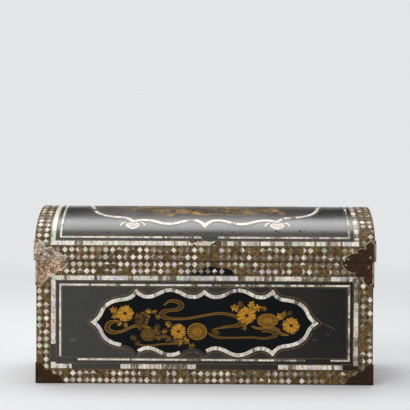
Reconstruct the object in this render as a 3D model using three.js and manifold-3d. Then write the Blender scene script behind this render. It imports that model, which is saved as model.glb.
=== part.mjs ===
// A small domed coffer of black lacquered wood, inlaid with strips of pearl shell and bound with
// thin engraved copper. Millimetres, +Z up, front towards -Y, origin under the middle of the floor.
import * as THREE from "three";
import { mergeVertices } from "three/addons/utils/BufferGeometryUtils.js";
import Module from "manifold-3d";

const wasm = await Module();
wasm.setup();

// Driving dimensions of the case.
const CASE_WIDTH = 416;
const CASE_DEPTH = 184;
const CASE_HEIGHT = 152;
const CASE_WALL = 9;
const CORNER_LIP = 4.5; // what is left of a long board where an end board is let into it
const FLOOR_THICKNESS = 8;
const FLOOR_LET_IN = 4.5; // how far the floor reaches into the four walls

// Driving dimensions of the lid. Its dome springs from two upright rails and has three arcs.
const LID_OVERSAIL = 2; // the lid stands past the case by this much on all sides
const RAIL_HEIGHT = 18.5;
const DOME_RISE = 46.5;
const SPRING_LEAN = THREE.MathUtils.degToRad(20); // lean of the dome where it leaves the rail
const SHOULDER_LEAN = THREE.MathUtils.degToRad(60); // lean where the shoulder becomes the crest
const LID_WALL = 9;
const LID_END_WALL = 10;
const STAVES = 7;
const FACETS_PER_STAVE = 4;

// Pearl inlay: strips of shell let into the lacquer.
const SHELL_THICKNESS = 0.8;
const SHELL_SINK = 0.1; // the shell lies this far below the lacquer's surface
const BAND_WIDTH = 5.5;
const LINE_WIDTH = 2.5;
const CARTOUCHE_WIDTH = 5;
const END_CARTOUCHE_WIDTH = 3.6;
const BAND_INSET = 21.3; // from the edge of a face to the middle of its outer band
const LINE_INSET = 29.8;
const LID_BAND_END_INSET = 23;
const LID_LINE_END_INSET = 32;
const LID_BAND_RISE = 3.4; // from the joint of rail and dome, along the dome, to the band's middle
const LID_LINE_RISE = 11.5;

// Copper.
const MOUNT_THICKNESS = 1;
const MOUNT_LIFT = 0.5; // the lower mounts stop short of what the case stands on
const LID_MOUNT = { front: 39, side: 32, height: 26.5 };
const UPPER_MOUNT = { front: 40, side: 34, height: 32 };
const LOWER_MOUNT = { front: 34, side: 30, height: 25 };
const HINGE_INSET = 93; // from the end of the case to the middle of a hinge
const HINGE_WIDTH = 34;
const HINGE_LEAF_HEIGHT = 36;
const HINGE_LEAF_THICKNESS = 1.2;
const BARREL_RADIUS = 3;
const BARREL_CLEARANCE = 0.2; // between the barrel and the lid's back
const KNUCKLE_GAP = 0.3;
const MIDDLE_KNUCKLE = 12;
const PIN_RADIUS = 1.2;
const PIN_CLEARANCE = 0.15;
const PIN_HEAD_RADIUS = 2;
const PIN_HEAD_THICKNESS = 1.2;

const GAP = 0.3; // kept between pieces that are cut to each other's shape
const SEAT_GAP = 0.1; // under a hinge leaf
const PAST = 1; // how far a cutting shape runs past the face it opens

// How finely curves are cut into straight steps.
const OUTLINE_STEPS = 5;
const BARREL_SIDES = 20;
const PIN_SIDES = 16;
const FRONT_STEPS = [3, 5]; // short curves, long curves of a cusped outline
const LID_STEPS = [3, 6];
const END_STEPS = [2, 3];
const SEAM_GAP = 0.3; // the lid hangs this far above the rim

// The cusped outlines. Each keeps clear of the thin shell line round it by the first two values.
// Its long side waves: from a cusp at the middle through a dip, a crest and a second dip to a
// cusp, all set down from the crest's height. Then a valley and the flank lead to the pointed tip.
const FRONT_CARTOUCHE = {
  tipClearance: 41,
  crestClearance: 6,
  middleDrop: 2.3,
  dipDrop: 8.6,
  dipReach: 14,
  cuspDrop: 2.1,
  cuspFromTip: 53,
  valleyDrop: 11.7,
  valleyFromTip: 38,
  flankHeight: 11,
  flankFromTip: 9.5,
};
const LID_CARTOUCHE = {
  tipClearance: 28,
  crestClearance: 23,
  middleDrop: -3.5,
  dipDrop: 9,
  dipReach: 15,
  cuspDrop: 5,
  cuspFromTip: 60,
  valleyDrop: 16,
  valleyFromTip: 44,
  flankHeight: 32,
  flankFromTip: 8,
};
const END_CARTOUCHE = {
  tipClearance: 7,
  crestClearance: 14,
  middleDrop: 1.5,
  dipDrop: 5.8,
  dipReach: 6,
  cuspDrop: 1,
  cuspFromTip: 22,
  valleyDrop: 7.5,
  valleyFromTip: 16,
  flankHeight: 10,
  flankFromTip: 5,
};

const lacquer = new THREE.MeshStandardMaterial({ color: 0x232220, roughness: 0.3, metalness: 0 });
const pearl = new THREE.MeshStandardMaterial({ color: 0xd8cfc8, roughness: 0.25, metalness: 0.1 });
const copper = new THREE.MeshStandardMaterial({ color: 0x8a6a55, roughness: 0.45, metalness: 0.9 });

// Derived dimensions.
const caseX = CASE_WIDTH / 2;
const caseY = CASE_DEPTH / 2;
const lidX = caseX + LID_OVERSAIL;
const lidY = caseY + LID_OVERSAIL;
const lidHeight = RAIL_HEIGHT + DOME_RISE;

// Solids

function manifoldOf(positions, triangles) {
  return new wasm.Manifold(new wasm.Mesh({ numProp: 3, vertProperties: positions, triVerts: triangles }));
}

// A closed geometry as a solid whose faces point out, whichever way its triangles ran.
function solidOf(geometry) {
  const bare = geometry.index ? geometry.toNonIndexed() : geometry.clone();
  bare.deleteAttribute("normal");
  bare.deleteAttribute("uv");
  const merged = mergeVertices(bare, 1e-4);
  const positions = merged.attributes.position.array;
  const triangles = new Uint32Array(merged.index.array);
  const made = manifoldOf(positions, triangles);
  return made.volume() > 0 ? made : manifoldOf(positions, triangles.reverse());
}

function geometryOf(solid) {
  const { vertProperties, triVerts } = solid.getMesh();
  const geometry = new THREE.BufferGeometry();
  geometry.setAttribute("position", new THREE.BufferAttribute(vertProperties, 3));
  geometry.setIndex(new THREE.BufferAttribute(triVerts, 1));
  const flat = geometry.toNonIndexed();
  flat.computeVertexNormals();
  return flat;
}

function extruded(shape, depth) {
  return new THREE.ExtrudeGeometry(shape, { depth, bevelEnabled: false, curveSegments: OUTLINE_STEPS });
}

// A shape drawn in X and Z, from one Y to another.
function prismXZ(shape, fromY, toY) {
  const basis = new THREE.Matrix4().makeBasis(
    new THREE.Vector3(1, 0, 0),
    new THREE.Vector3(0, 0, 1),
    new THREE.Vector3(0, -1, 0),
  );
  return solidOf(extruded(shape, toY - fromY).applyMatrix4(basis).translate(0, toY, 0));
}

// A shape drawn in Y and Z, from one X to another.
function prismYZ(shape, fromX, toX) {
  const basis = new THREE.Matrix4().makeBasis(
    new THREE.Vector3(0, 1, 0),
    new THREE.Vector3(0, 0, 1),
    new THREE.Vector3(1, 0, 0),
  );
  return solidOf(extruded(shape, toX - fromX).applyMatrix4(basis).translate(fromX, 0, 0));
}

function polygon(points) {
  return new THREE.Shape(points.map(([x, y]) => new THREE.Vector2(x, y)));
}

function block(minX, maxX, minY, maxY, minZ, maxZ) {
  const box = new THREE.BoxGeometry(maxX - minX, maxY - minY, maxZ - minZ);
  return solidOf(box.translate((minX + maxX) / 2, (minY + maxY) / 2, (minZ + maxZ) / 2));
}

function mesh(name, solid, material) {
  const made = new THREE.Mesh(geometryOf(solid), material);
  made.name = name;
  return made;
}

// The dome's profile

// The shoulder and crest radii that close the three arcs on the lid's depth and rise.
function domeRadii() {
  const run = Math.cos(SPRING_LEAN) - Math.cos(SHOULDER_LEAN);
  const rise = Math.sin(SHOULDER_LEAN) - Math.sin(SPRING_LEAN);
  const crestRun = Math.cos(SHOULDER_LEAN);
  const crestRise = 1 - Math.sin(SHOULDER_LEAN);
  const both = run * crestRise - rise * crestRun;
  return {
    shoulder: (lidY * crestRise - DOME_RISE * crestRun) / both,
    crest: (run * DOME_RISE - rise * lidY) / both,
  };
}

const radii = domeRadii();
const shoulderLength = radii.shoulder * (SHOULDER_LEAN - SPRING_LEAN);
const crestLength = radii.crest * (Math.PI - 2 * SHOULDER_LEAN);
const domeLength = 2 * shoulderLength + crestLength;

// A point of the dome, in Y and Z above the seam, at a distance along the dome from the front
// rail and at a height over its surface, which is negative inside the wood.
function domePoint(along, height = 0) {
  const front = along <= domeLength / 2;
  const reach = front ? along : domeLength - along;
  let lean = SPRING_LEAN + reach / radii.shoulder;
  let radius = radii.shoulder;
  let centreY = -lidY + radii.shoulder * Math.cos(SPRING_LEAN);
  let centreZ = RAIL_HEIGHT - radii.shoulder * Math.sin(SPRING_LEAN);
  if (reach > shoulderLength) {
    lean = SHOULDER_LEAN + (reach - shoulderLength) / radii.crest;
    radius = radii.crest;
    centreY = 0;
    centreZ = lidHeight - radii.crest;
  }
  const y = centreY - (radius + height) * Math.cos(lean);
  return [front ? y : -y, centreZ + (radius + height) * Math.sin(lean)];
}

const facetCount = STAVES * FACETS_PER_STAVE;
const facetEdges = Array.from({ length: facetCount + 1 }, (_, i) => (domeLength * i) / facetCount);

// The lid's cross-section from its bottom edge over the dome, with the surface moved out.
function lidSection(outwards, bottom) {
  const arch = facetEdges.map((along) => domePoint(along, outwards));
  const side = lidY + outwards;
  return polygon([[-side, bottom], [-side, RAIL_HEIGHT], ...arch, [side, RAIL_HEIGHT], [side, bottom]]);
}

// Inlaid ribbons

// The two sides of a ribbon at each point of its closed path, mitred where the path turns.
function ribbonSides(path, halfWidth) {
  return path.map(([u, v], i) => {
    const before = path[(i + path.length - 1) % path.length];
    const after = path[(i + 1) % path.length];
    const arriving = new THREE.Vector2(u - before[0], v - before[1]).normalize();
    const leaving = new THREE.Vector2(after[0] - u, after[1] - v).normalize();
    const across = new THREE.Vector2(-arriving.y - leaving.y, arriving.x + leaving.x).normalize();
    const mitre = halfWidth / (across.x * -leaving.y + across.y * leaving.x);
    return [
      [u + across.x * mitre, v + across.y * mitre],
      [u - across.x * mitre, v - across.y * mitre],
    ];
  });
}

// A closed strip along a path on a face. place(u, v, height) puts a point of the face in space.
function ribbon(path, width, top, bottom, place) {
  const positions = [];
  for (const [left, right] of ribbonSides(path, width / 2))
    for (const [corner, height] of [[left, top], [right, top], [right, bottom], [left, bottom]])
      positions.push(...place(corner[0], corner[1], height));
  const index = [];
  for (let i = 0; i < path.length; i++) {
    const here = 4 * i;
    const next = 4 * ((i + 1) % path.length);
    for (let k = 0; k < 4; k++) {
      const k2 = (k + 1) % 4;
      index.push(here + k, next + k, next + k2, here + k, next + k2, here + k2);
    }
  }
  const geometry = new THREE.BufferGeometry();
  geometry.setAttribute("position", new THREE.Float32BufferAttribute(positions, 3));
  geometry.setIndex(index);
  return solidOf(geometry);
}

// A shell strip and the groove it is bedded in, which is wider and deeper by the gap.
function inlay(path, width, place) {
  const floor = -SHELL_SINK - SHELL_THICKNESS;
  return {
    strip: ribbon(path, width, -SHELL_SINK, floor, place),
    groove: ribbon(path, width + 2 * GAP, PAST, floor - GAP, place),
  };
}

function rectangle(halfWidth, bottom, top) {
  return [[-halfWidth, bottom], [halfWidth, bottom], [halfWidth, top], [-halfWidth, top]];
}

// The closed cusped outline round the origin, from its sizes and those of the panel inside the
// thin line. The curves run through a quarter, from the middle of the long side to the tip.
function cuspedOutline(c, halfLength, halfHeight, [shortSteps, longSteps]) {
  const tip = halfLength - c.tipClearance;
  const top = halfHeight - c.crestClearance;
  const cuspX = tip - c.cuspFromTip;
  const middle = point(0, top - c.middleDrop);
  const dip = point(c.dipReach, top - c.dipDrop);
  const crest = point(cuspX / 2, top);
  const secondDip = point(cuspX - c.dipReach, top - c.dipDrop);
  const cusp = point(cuspX, top - c.cuspDrop);
  const valley = point(tip - c.valleyFromTip, top - c.valleyDrop);
  const flank = point(tip - c.flankFromTip, c.flankHeight);
  const shoulder = point(flank.x - c.flankFromTip / 3, (valley.y + flank.y) * 0.55);
  const parts = [
    [middle, point(dip.x * 0.45, dip.y), dip],
    wave(dip, crest),
    wave(crest, secondDip),
    [secondDip, point((secondDip.x + cusp.x) / 2, secondDip.y), cusp],
    [cusp, point((2 * cusp.x + valley.x) / 3, valley.y + 1), valley],
    [valley, point((valley.x + flank.x) / 2, valley.y - 1), shoulder, flank],
    [flank, point(flank.x + c.flankFromTip / 3, flank.y * 0.4), point(tip, 0)],
  ];
  const quarter = parts.flatMap((points) => {
    const long = points.length === 4;
    const curve = long ? new THREE.CubicBezierCurve(...points) : new THREE.QuadraticBezierCurve(...points);
    return curve.getPoints(long ? longSteps : shortSteps).slice(0, -1);
  });
  quarter.push(point(tip, 0));
  const right = [...quarter, ...mirrored(quarter, 1, -1)];
  return [...right, ...mirrored(right, -1, 1)].map((p) => [p.x, p.y]);
}

function point(x, y) {
  return new THREE.Vector2(x, y);
}

// The four points of a smooth swell between two places where the outline runs level.
function wave(from, to) {
  const reach = (to.x - from.x) * 0.42;
  return [from, point(from.x + reach, from.y), point(to.x - reach, to.y), to];
}

// The points in reverse and mirrored, without the two on the mirror line.
function mirrored(points, signX, signY) {
  const onLine = (p) => (signX < 0 ? p.x === 0 : p.y === 0);
  return points.filter((p) => !onLine(p)).reverse().map((p) => point(p.x * signX, p.y * signY));
}

// Faces that carry inlay, as places for ribbons

const onCaseFront = (u, v, height) => [u, -caseY - height, v];
const onCaseEnd = (side) => (u, v, height) => [side * (caseX + height), u, v];
const onLidEnd = (side) => (u, v, height) => [side * (lidX + height), u, v];
const onDome = (u, v, height) => [u, ...domePoint(v, height)];

function panelInlays(halfLength, height, cartouche, cartoucheWidth, steps, place) {
  const outline = cuspedOutline(cartouche, halfLength - LINE_INSET, height / 2 - LINE_INSET, steps);
  const band = rectangle(halfLength - BAND_INSET, BAND_INSET, height - BAND_INSET);
  const line = rectangle(halfLength - LINE_INSET, LINE_INSET, height - LINE_INSET);
  return {
    band: inlay(band, BAND_WIDTH, place),
    line: inlay(line, LINE_WIDTH, place),
    cartouche: inlay(outline.map(([u, v]) => [u, v + height / 2]), cartoucheWidth, place),
  };
}

const frontInlays = panelInlays(
  caseX, CASE_HEIGHT, FRONT_CARTOUCHE, CARTOUCHE_WIDTH, FRONT_STEPS, onCaseFront,
);
const endPanel = (side) =>
  panelInlays(caseY, CASE_HEIGHT, END_CARTOUCHE, END_CARTOUCHE_WIDTH, END_STEPS, onCaseEnd(side));
const endInlays = { left: endPanel(-1), right: endPanel(1) };

// A frame over the dome, with a point at each facet edge so that it bends where the wood does.
function domeFrame(endInset, rise) {
  const x = lidX - endInset;
  const between = facetEdges.filter((along) => along > rise + 2 && along < domeLength - rise - 2);
  const over = [rise, ...between, domeLength - rise];
  return [...over.map((along) => [x, along]), ...over.reverse().map((along) => [-x, along])];
}

const domeOutline = cuspedOutline(
  LID_CARTOUCHE, lidX - LID_LINE_END_INSET, domeLength / 2 - LID_LINE_RISE, LID_STEPS,
);
const domeCartouche = domeOutline.map(([u, v]) => [u, v + domeLength / 2]);
const lidInlays = {
  band: inlay(domeFrame(LID_BAND_END_INSET, LID_BAND_RISE), BAND_WIDTH, onDome),
  line: inlay(domeFrame(LID_LINE_END_INSET, LID_LINE_RISE), LINE_WIDTH, onDome),
  cartouche: inlay(domeCartouche, CARTOUCHE_WIDTH, onDome),
};

// The arched band on a lid end: the dome's profile moved in, closed by a level line.
function archPath() {
  return facetEdges.map((along) => domePoint(along, -BAND_INSET)).filter(([, z]) => z > BAND_INSET);
}

const lidEndInlays = {
  left: inlay(archPath(), BAND_WIDTH, onLidEnd(-1)),
  right: inlay(archPath(), BAND_WIDTH, onLidEnd(1)),
};

function cutBy(solid, cutters) {
  return cutters.reduce((rest, cutter) => rest.subtract(cutter), solid);
}

function grooves(inlays) {
  return Object.values(inlays).map((each) => each.groove);
}

// The case

// A long board seen from above, notched at both ends for the end boards.
function longBoard(side) {
  const outer = side * caseY;
  const inner = side * (caseY - CASE_WALL);
  const lip = side * (caseY - CORNER_LIP);
  const shoulder = caseX - CASE_WALL;
  const plan = polygon([
    [-caseX, outer], [caseX, outer], [caseX, lip], [shoulder, lip],
    [shoulder, inner], [-shoulder, inner], [-shoulder, lip], [-caseX, lip],
  ]);
  return solidOf(extruded(plan, CASE_HEIGHT));
}

function endBoard(side) {
  const reach = caseY - CORNER_LIP;
  const from = Math.min(side * caseX, side * (caseX - CASE_WALL));
  return block(from, from + CASE_WALL, -reach, reach, 0, CASE_HEIGHT);
}

const floorX = caseX - CASE_WALL + FLOOR_LET_IN;
const floorY = caseY - CASE_WALL + FLOOR_LET_IN;
const floorRebate = block(-floorX, floorX, -floorY, floorY, -PAST, FLOOR_THICKNESS);
const floorBoard = block(
  -floorX + GAP, floorX - GAP, -floorY + GAP, floorY - GAP, 0, FLOOR_THICKNESS - GAP,
);

function caseBoards() {
  const front = cutBy(longBoard(-1), [floorRebate, ...grooves(frontInlays)]);
  const left = cutBy(endBoard(-1), [floorRebate, ...grooves(endInlays.left)]);
  const right = cutBy(endBoard(1), [floorRebate, ...grooves(endInlays.right)]);
  return [
    mesh("case_front_board", front, lacquer),
    mesh("case_back_board", cutBy(longBoard(1), [floorRebate]), lacquer),
    mesh("case_left_end_board", left, lacquer),
    mesh("case_right_end_board", right, lacquer),
    mesh("case_floor_board", floorBoard, lacquer),
  ];
}

// The lid, above the seam

// A rail runs the lid's full width, and its top is bevelled to carry the first stave.
function lidRail(side) {
  const [innerY, innerZ] = domePoint(0, -LID_WALL);
  const section = [[-lidY, 0], [-lidY, RAIL_HEIGHT], [innerY, innerZ], [innerY, 0]];
  return prismYZ(polygon(section.map(([y, z]) => [-side * y, z])), -lidX, lidX);
}

function stave(index) {
  const edges = facetEdges.slice(index * FACETS_PER_STAVE, (index + 1) * FACETS_PER_STAVE + 1);
  const outer = edges.map((along) => domePoint(along));
  const inner = edges.map((along) => domePoint(along, -LID_WALL)).reverse();
  return cutBy(prismYZ(polygon([...outer, ...inner]), -lidX, lidX), grooves(lidInlays));
}

// An end board fills the arch under the staves, between the rails.
function lidEnd(side, groove) {
  const arch = facetEdges.map((along) => domePoint(along, -LID_WALL - GAP));
  const reach = -domePoint(0, -LID_WALL)[0] - GAP;
  const foot = arch[0][1];
  const inside = arch.filter(([y]) => Math.abs(y) < reach);
  const section = polygon([[-reach, 0], [-reach, foot], ...inside, [reach, foot], [reach, 0]]);
  const from = Math.min(side * lidX, side * (lidX - LID_END_WALL));
  return prismYZ(section, from, from + LID_END_WALL).subtract(groove);
}

function lidBoards() {
  const staves = Array.from({ length: STAVES }, (_, i) => mesh(`lid_stave_${i + 1}`, stave(i), lacquer));
  return [
    mesh("lid_front_rail", lidRail(-1), lacquer),
    mesh("lid_back_rail", lidRail(1), lacquer),
    mesh("lid_left_end_board", lidEnd(-1, lidEndInlays.left.groove), lacquer),
    mesh("lid_right_end_board", lidEnd(1, lidEndInlays.right.groove), lacquer),
    ...staves,
  ];
}

// Corner mounts

// The outline of one leaf from its corner at the origin: three rounded lobes with cusps between,
// across the open side.
function leafOutline(width, height, signU, signV) {
  const shape = new THREE.Shape();
  const knots = [[width, 0], [width * 0.66, height * 0.42], [width * 0.36, height * 0.6], [0, height]];
  const bulges = [[width * 0.93, height * 0.38], [width * 0.52, height * 0.72], [width * 0.3, height * 0.98]];
  shape.moveTo(0, 0);
  shape.lineTo(signU * knots[0][0], 0);
  bulges.forEach(([u, v], i) => {
    const [endU, endV] = knots[i + 1];
    shape.quadraticCurveTo(signU * u, signV * v, signU * endU, signV * endV);
  });
  shape.lineTo(0, 0);
  return shape;
}

// A case mount: a front leaf and a side leaf bent round the upright edge. up is -1 for a leaf
// that hangs from the rim and 1 for one that stands at the foot.
function caseMount(size, sideX, sideY, up) {
  const z = up > 0 ? MOUNT_LIFT : CASE_HEIGHT;
  const outX = caseX + MOUNT_THICKNESS;
  const outY = caseY + MOUNT_THICKNESS;
  const faceY = [sideY * caseY, sideY * outY].sort((a, b) => a - b);
  const faceX = [sideX * caseX, sideX * outX].sort((a, b) => a - b);
  const front = prismXZ(leafOutline(size.front, size.height, -sideX, up), ...faceY);
  const side = prismYZ(leafOutline(size.side, size.height, -sideY, up), ...faceX);
  return front.translate([sideX * outX, 0, z]).add(side.translate([0, sideY * outY, z]));
}

// The space of a sheet of metal that lies over the rails and the dome, in the lid's frame.
function lidSheet(lift, thickness) {
  const reach = lidX + MOUNT_THICKNESS;
  const over = prismYZ(lidSection(lift + thickness, 0), -reach, reach);
  return over.subtract(prismYZ(lidSection(lift, -PAST), -reach - PAST, reach + PAST));
}

const mountSheet = lidSheet(0, MOUNT_THICKNESS);

function lidMount(size, sideX, sideY) {
  const outX = lidX + MOUNT_THICKNESS;
  const outY = lidY + MOUNT_THICKNESS;
  const depth = [sideY * (outY + PAST), sideY * lidY / 2].sort((a, b) => a - b);
  const face = [sideX * lidX, sideX * outX].sort((a, b) => a - b);
  const front = prismXZ(leafOutline(size.front, size.height, -sideX, 1), ...depth);
  const side = prismYZ(leafOutline(size.side, size.height, -sideY, 1), ...face);
  const end = prismYZ(lidSection(MOUNT_THICKNESS, 0), ...face);
  const frontLeaf = front.translate([sideX * outX, 0, 0]).intersect(mountSheet);
  return frontLeaf.add(side.translate([0, sideY * outY, 0]).intersect(end));
}

const corners = [
  ["front_left", -1, -1],
  ["front_right", 1, -1],
  ["back_left", -1, 1],
  ["back_right", 1, 1],
];

function caseMounts() {
  return corners.flatMap(([name, sideX, sideY]) => [
    mesh(`case_mount_upper_${name}`, caseMount(UPPER_MOUNT, sideX, sideY, -1), copper),
    mesh(`case_mount_lower_${name}`, caseMount(LOWER_MOUNT, sideX, sideY, 1), copper),
  ]);
}

function lidMounts() {
  return corners.map(([name, sideX, sideY]) =>
    mesh(`lid_mount_${name}`, lidMount(LID_MOUNT, sideX, sideY), copper),
  );
}

// Hinges, in a frame whose X axis is the pin's

const pinY = lidY + BARREL_CLEARANCE + BARREL_RADIUS;
const caseFaceY = caseY - pinY + SEAT_GAP;
const lidFaceY = lidY - pinY + SEAT_GAP;
const hingeHalf = HINGE_WIDTH / 2;
const leafTop = BARREL_RADIUS + GAP;

function rodX(radius, fromX, toX, sides) {
  const rod = new THREE.CylinderGeometry(radius, radius, toX - fromX, sides).rotateZ(Math.PI / 2);
  return solidOf(rod.translate((fromX + toX) / 2, 0, 0));
}

// The outline of a leaf that runs from the barrel to a cusped end. up is 1 over the seam.
function hingeLeafOutline(up) {
  const shape = new THREE.Shape();
  const shoulder = up * HINGE_LEAF_HEIGHT * 0.62;
  const end = up * HINGE_LEAF_HEIGHT;
  shape.moveTo(-hingeHalf, up * leafTop);
  shape.lineTo(hingeHalf, up * leafTop);
  shape.lineTo(hingeHalf, shoulder);
  shape.quadraticCurveTo(hingeHalf * 0.95, end * 0.88, hingeHalf * 0.45, end * 0.86);
  shape.quadraticCurveTo(hingeHalf * 0.15, end * 0.88, 0, end);
  shape.quadraticCurveTo(-hingeHalf * 0.15, end * 0.88, -hingeHalf * 0.45, end * 0.86);
  shape.quadraticCurveTo(-hingeHalf * 0.95, end * 0.88, -hingeHalf, shoulder);
  shape.lineTo(-hingeHalf, up * leafTop);
  return shape;
}

// A knuckle of the barrel with the web that joins it to its leaf at face.
function knuckle(fromX, toX, face, up) {
  const web = [0, up * (leafTop + HINGE_LEAF_THICKNESS)].sort((a, b) => a - b);
  const bridge = block(fromX, toX, face, 0, ...web);
  return rodX(BARREL_RADIUS, fromX, toX, BARREL_SIDES).add(bridge);
}

const pinHole = rodX(PIN_RADIUS + PIN_CLEARANCE, -HINGE_WIDTH, HINGE_WIDTH, PIN_SIDES);

function hingeCaseLeaf() {
  const leaf = prismXZ(hingeLeafOutline(-1), caseFaceY, caseFaceY + HINGE_LEAF_THICKNESS);
  const inner = MIDDLE_KNUCKLE / 2 + KNUCKLE_GAP;
  return leaf
    .add(knuckle(-hingeHalf, -inner, caseFaceY, -1))
    .add(knuckle(inner, hingeHalf, caseFaceY, -1))
    .subtract(pinHole);
}

const hingeSheet = lidSheet(SEAT_GAP, HINGE_LEAF_THICKNESS);

// The lid's leaf is bent over the rail and the foot of the dome.
function hingeLidLeaf(x) {
  const flat = prismXZ(hingeLeafOutline(1), -lidY / 2, 0);
  const bent = hingeSheet.translate([-x, -pinY, SEAM_GAP]).intersect(flat);
  const half = MIDDLE_KNUCKLE / 2;
  return bent.add(knuckle(-half, half, lidFaceY, 1)).subtract(pinHole);
}

function hingePin() {
  const end = hingeHalf + PIN_CLEARANCE;
  const head = end + PIN_HEAD_THICKNESS;
  return rodX(PIN_RADIUS, -end, end, PIN_SIDES)
    .add(rodX(PIN_HEAD_RADIUS, -head, -end, PIN_SIDES))
    .add(rodX(PIN_HEAD_RADIUS, end, head, PIN_SIDES));
}

const hingePlaces = [["left", HINGE_INSET - caseX], ["right", caseX - HINGE_INSET]];

function placedAt(x, y, z, ...children) {
  const group = new THREE.Group();
  group.position.set(x, y, z);
  group.add(...children);
  return group;
}

// Assembly

const caseGroup = new THREE.Group();
caseGroup.add(
  ...caseBoards(),
  mesh("front_pearl_band", frontInlays.band.strip, pearl),
  mesh("front_pearl_line", frontInlays.line.strip, pearl),
  mesh("front_cartouche", frontInlays.cartouche.strip, pearl),
  ...["left", "right"].flatMap((name) => [
    mesh(`${name}_end_pearl_band`, endInlays[name].band.strip, pearl),
    mesh(`${name}_end_pearl_line`, endInlays[name].line.strip, pearl),
    mesh(`${name}_end_cartouche`, endInlays[name].cartouche.strip, pearl),
  ]),
  ...caseMounts(),
  ...hingePlaces.map(([name, x]) =>
    placedAt(x, pinY, CASE_HEIGHT,
      mesh(`hinge_${name}_case_leaf`, hingeCaseLeaf(), copper),
      mesh(`hinge_${name}_pin`, hingePin(), copper)),
  ),
);

const lidGroup = placedAt(0, 0, CASE_HEIGHT + SEAM_GAP,
  ...lidBoards(),
  mesh("lid_pearl_band", lidInlays.band.strip, pearl),
  mesh("lid_pearl_line", lidInlays.line.strip, pearl),
  mesh("lid_cartouche", lidInlays.cartouche.strip, pearl),
  mesh("lid_left_end_band", lidEndInlays.left.strip, pearl),
  mesh("lid_right_end_band", lidEndInlays.right.strip, pearl),
  ...lidMounts(),
  ...hingePlaces.map(([name, x]) =>
    placedAt(x, pinY, -SEAM_GAP, mesh(`hinge_${name}_lid_leaf`, hingeLidLeaf(x), copper)),
  ),
);

const coffer = new THREE.Group();
coffer.add(caseGroup, lidGroup);

export default coffer;
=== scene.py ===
"""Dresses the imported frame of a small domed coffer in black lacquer, pearl shell, gold painting and
engraved copper, and sets it on a plain pale stage. Lengths are in millimetres until a point is placed."""

import math
import random

import bmesh
import bpy
from bpy.props import FloatProperty, FloatVectorProperty, IntProperty, PointerProperty
from mathutils import Matrix, Vector, noise
from mathutils.geometry import delaunay_2d_cdt


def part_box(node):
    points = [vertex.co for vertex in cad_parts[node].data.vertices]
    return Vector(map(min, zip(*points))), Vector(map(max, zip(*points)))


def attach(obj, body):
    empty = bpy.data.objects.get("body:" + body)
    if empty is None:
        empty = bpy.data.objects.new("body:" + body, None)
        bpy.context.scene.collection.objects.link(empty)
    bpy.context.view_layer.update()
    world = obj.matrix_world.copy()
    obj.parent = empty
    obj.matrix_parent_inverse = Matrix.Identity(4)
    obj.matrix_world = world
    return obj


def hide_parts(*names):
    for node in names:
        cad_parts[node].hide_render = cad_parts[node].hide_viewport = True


bl_info = {
    "name": "Domed lacquer coffer",
    "version": (1, 0, 0),
    "blender": (4, 5, 0),
    "location": "3D View > Sidebar > Coffer",
    "description": "Finishes the coffer's frame in lacquer, pearl shell, gold and copper",
    "category": "Object",
}

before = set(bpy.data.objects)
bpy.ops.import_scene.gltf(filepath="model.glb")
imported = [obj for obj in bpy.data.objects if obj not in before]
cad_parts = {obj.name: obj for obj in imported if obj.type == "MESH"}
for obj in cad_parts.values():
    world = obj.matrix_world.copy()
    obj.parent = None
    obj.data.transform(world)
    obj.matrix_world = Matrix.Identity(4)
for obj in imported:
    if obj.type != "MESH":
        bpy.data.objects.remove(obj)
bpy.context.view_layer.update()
MM = 0.001

# Sizes that the frame gives.
CASE_X = -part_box("case_left_end_board")[0].x / MM
CASE_Y = -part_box("case_front_board")[0].y / MM
CASE_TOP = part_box("case_front_board")[1].z / MM
CASE_INSIDE_X = -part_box("case_left_end_board")[1].x / MM
CASE_INSIDE_Y = -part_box("case_front_board")[1].y / MM
CASE_INSIDE_Z = 8.0
LID_X = -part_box("lid_left_end_board")[0].x / MM
LID_Y = -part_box("lid_front_rail")[0].y / MM
LID_INSIDE_X = -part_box("lid_left_end_board")[1].x / MM
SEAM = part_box("lid_front_rail")[0].z / MM
RAIL_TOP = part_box("lid_front_rail")[1].z / MM - SEAM
LID_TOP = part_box("lid_stave_4")[1].z / MM - SEAM
LID_WALL = 9.0

# The dome's leans where it leaves the rail and where the shoulder turns into the crest.
SPRING_LEAN = math.radians(20)
SHOULDER_LEAN = math.radians(60)

# Heights over the wood's faces. The lacquer lies a little low, so that nothing stands past the frame.
LACQUER = -0.2
BED = -0.3
PAINT_BED = LACQUER - 0.05
FIELD_THICKNESS = 0.1
WHITE = (1.0, 1.0, 1.0)  # the tint that leaves a finish as it is
GROUND = -0.13
PAINT = -0.06
SHELL = -0.02

# Places of the inlay, as on the frame's own strips.
BAND_INSET = 21.3
LINE_INSET = 29.8
LID_BAND_END_INSET = 23.0
LID_LINE_END_INSET = 32.0
LID_BAND_RISE = 3.4
LID_LINE_RISE = 11.5


def colour(code):
    """A colour from its six hexadecimal digits, as a scene-linear red, green and blue."""
    parts = [int(code[i : i + 2], 16) / 255 for i in (0, 2, 4)]
    return tuple(c / 12.92 if c <= 0.04045 else ((c + 0.055) / 1.055) ** 2.4 for c in parts)


# Settings that a user would change


def length(name, description, default):
    return FloatProperty(name=name, description=description, default=default, min=0.01, precision=2)


def measure(name, description, default, unit):
    return FloatProperty(name=name, description=description, default=default, unit=unit)


def tone(name, description, code):
    return FloatVectorProperty(
        name=name, description=description, default=colour(code), subtype="COLOR", min=0, max=1
    )


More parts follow.
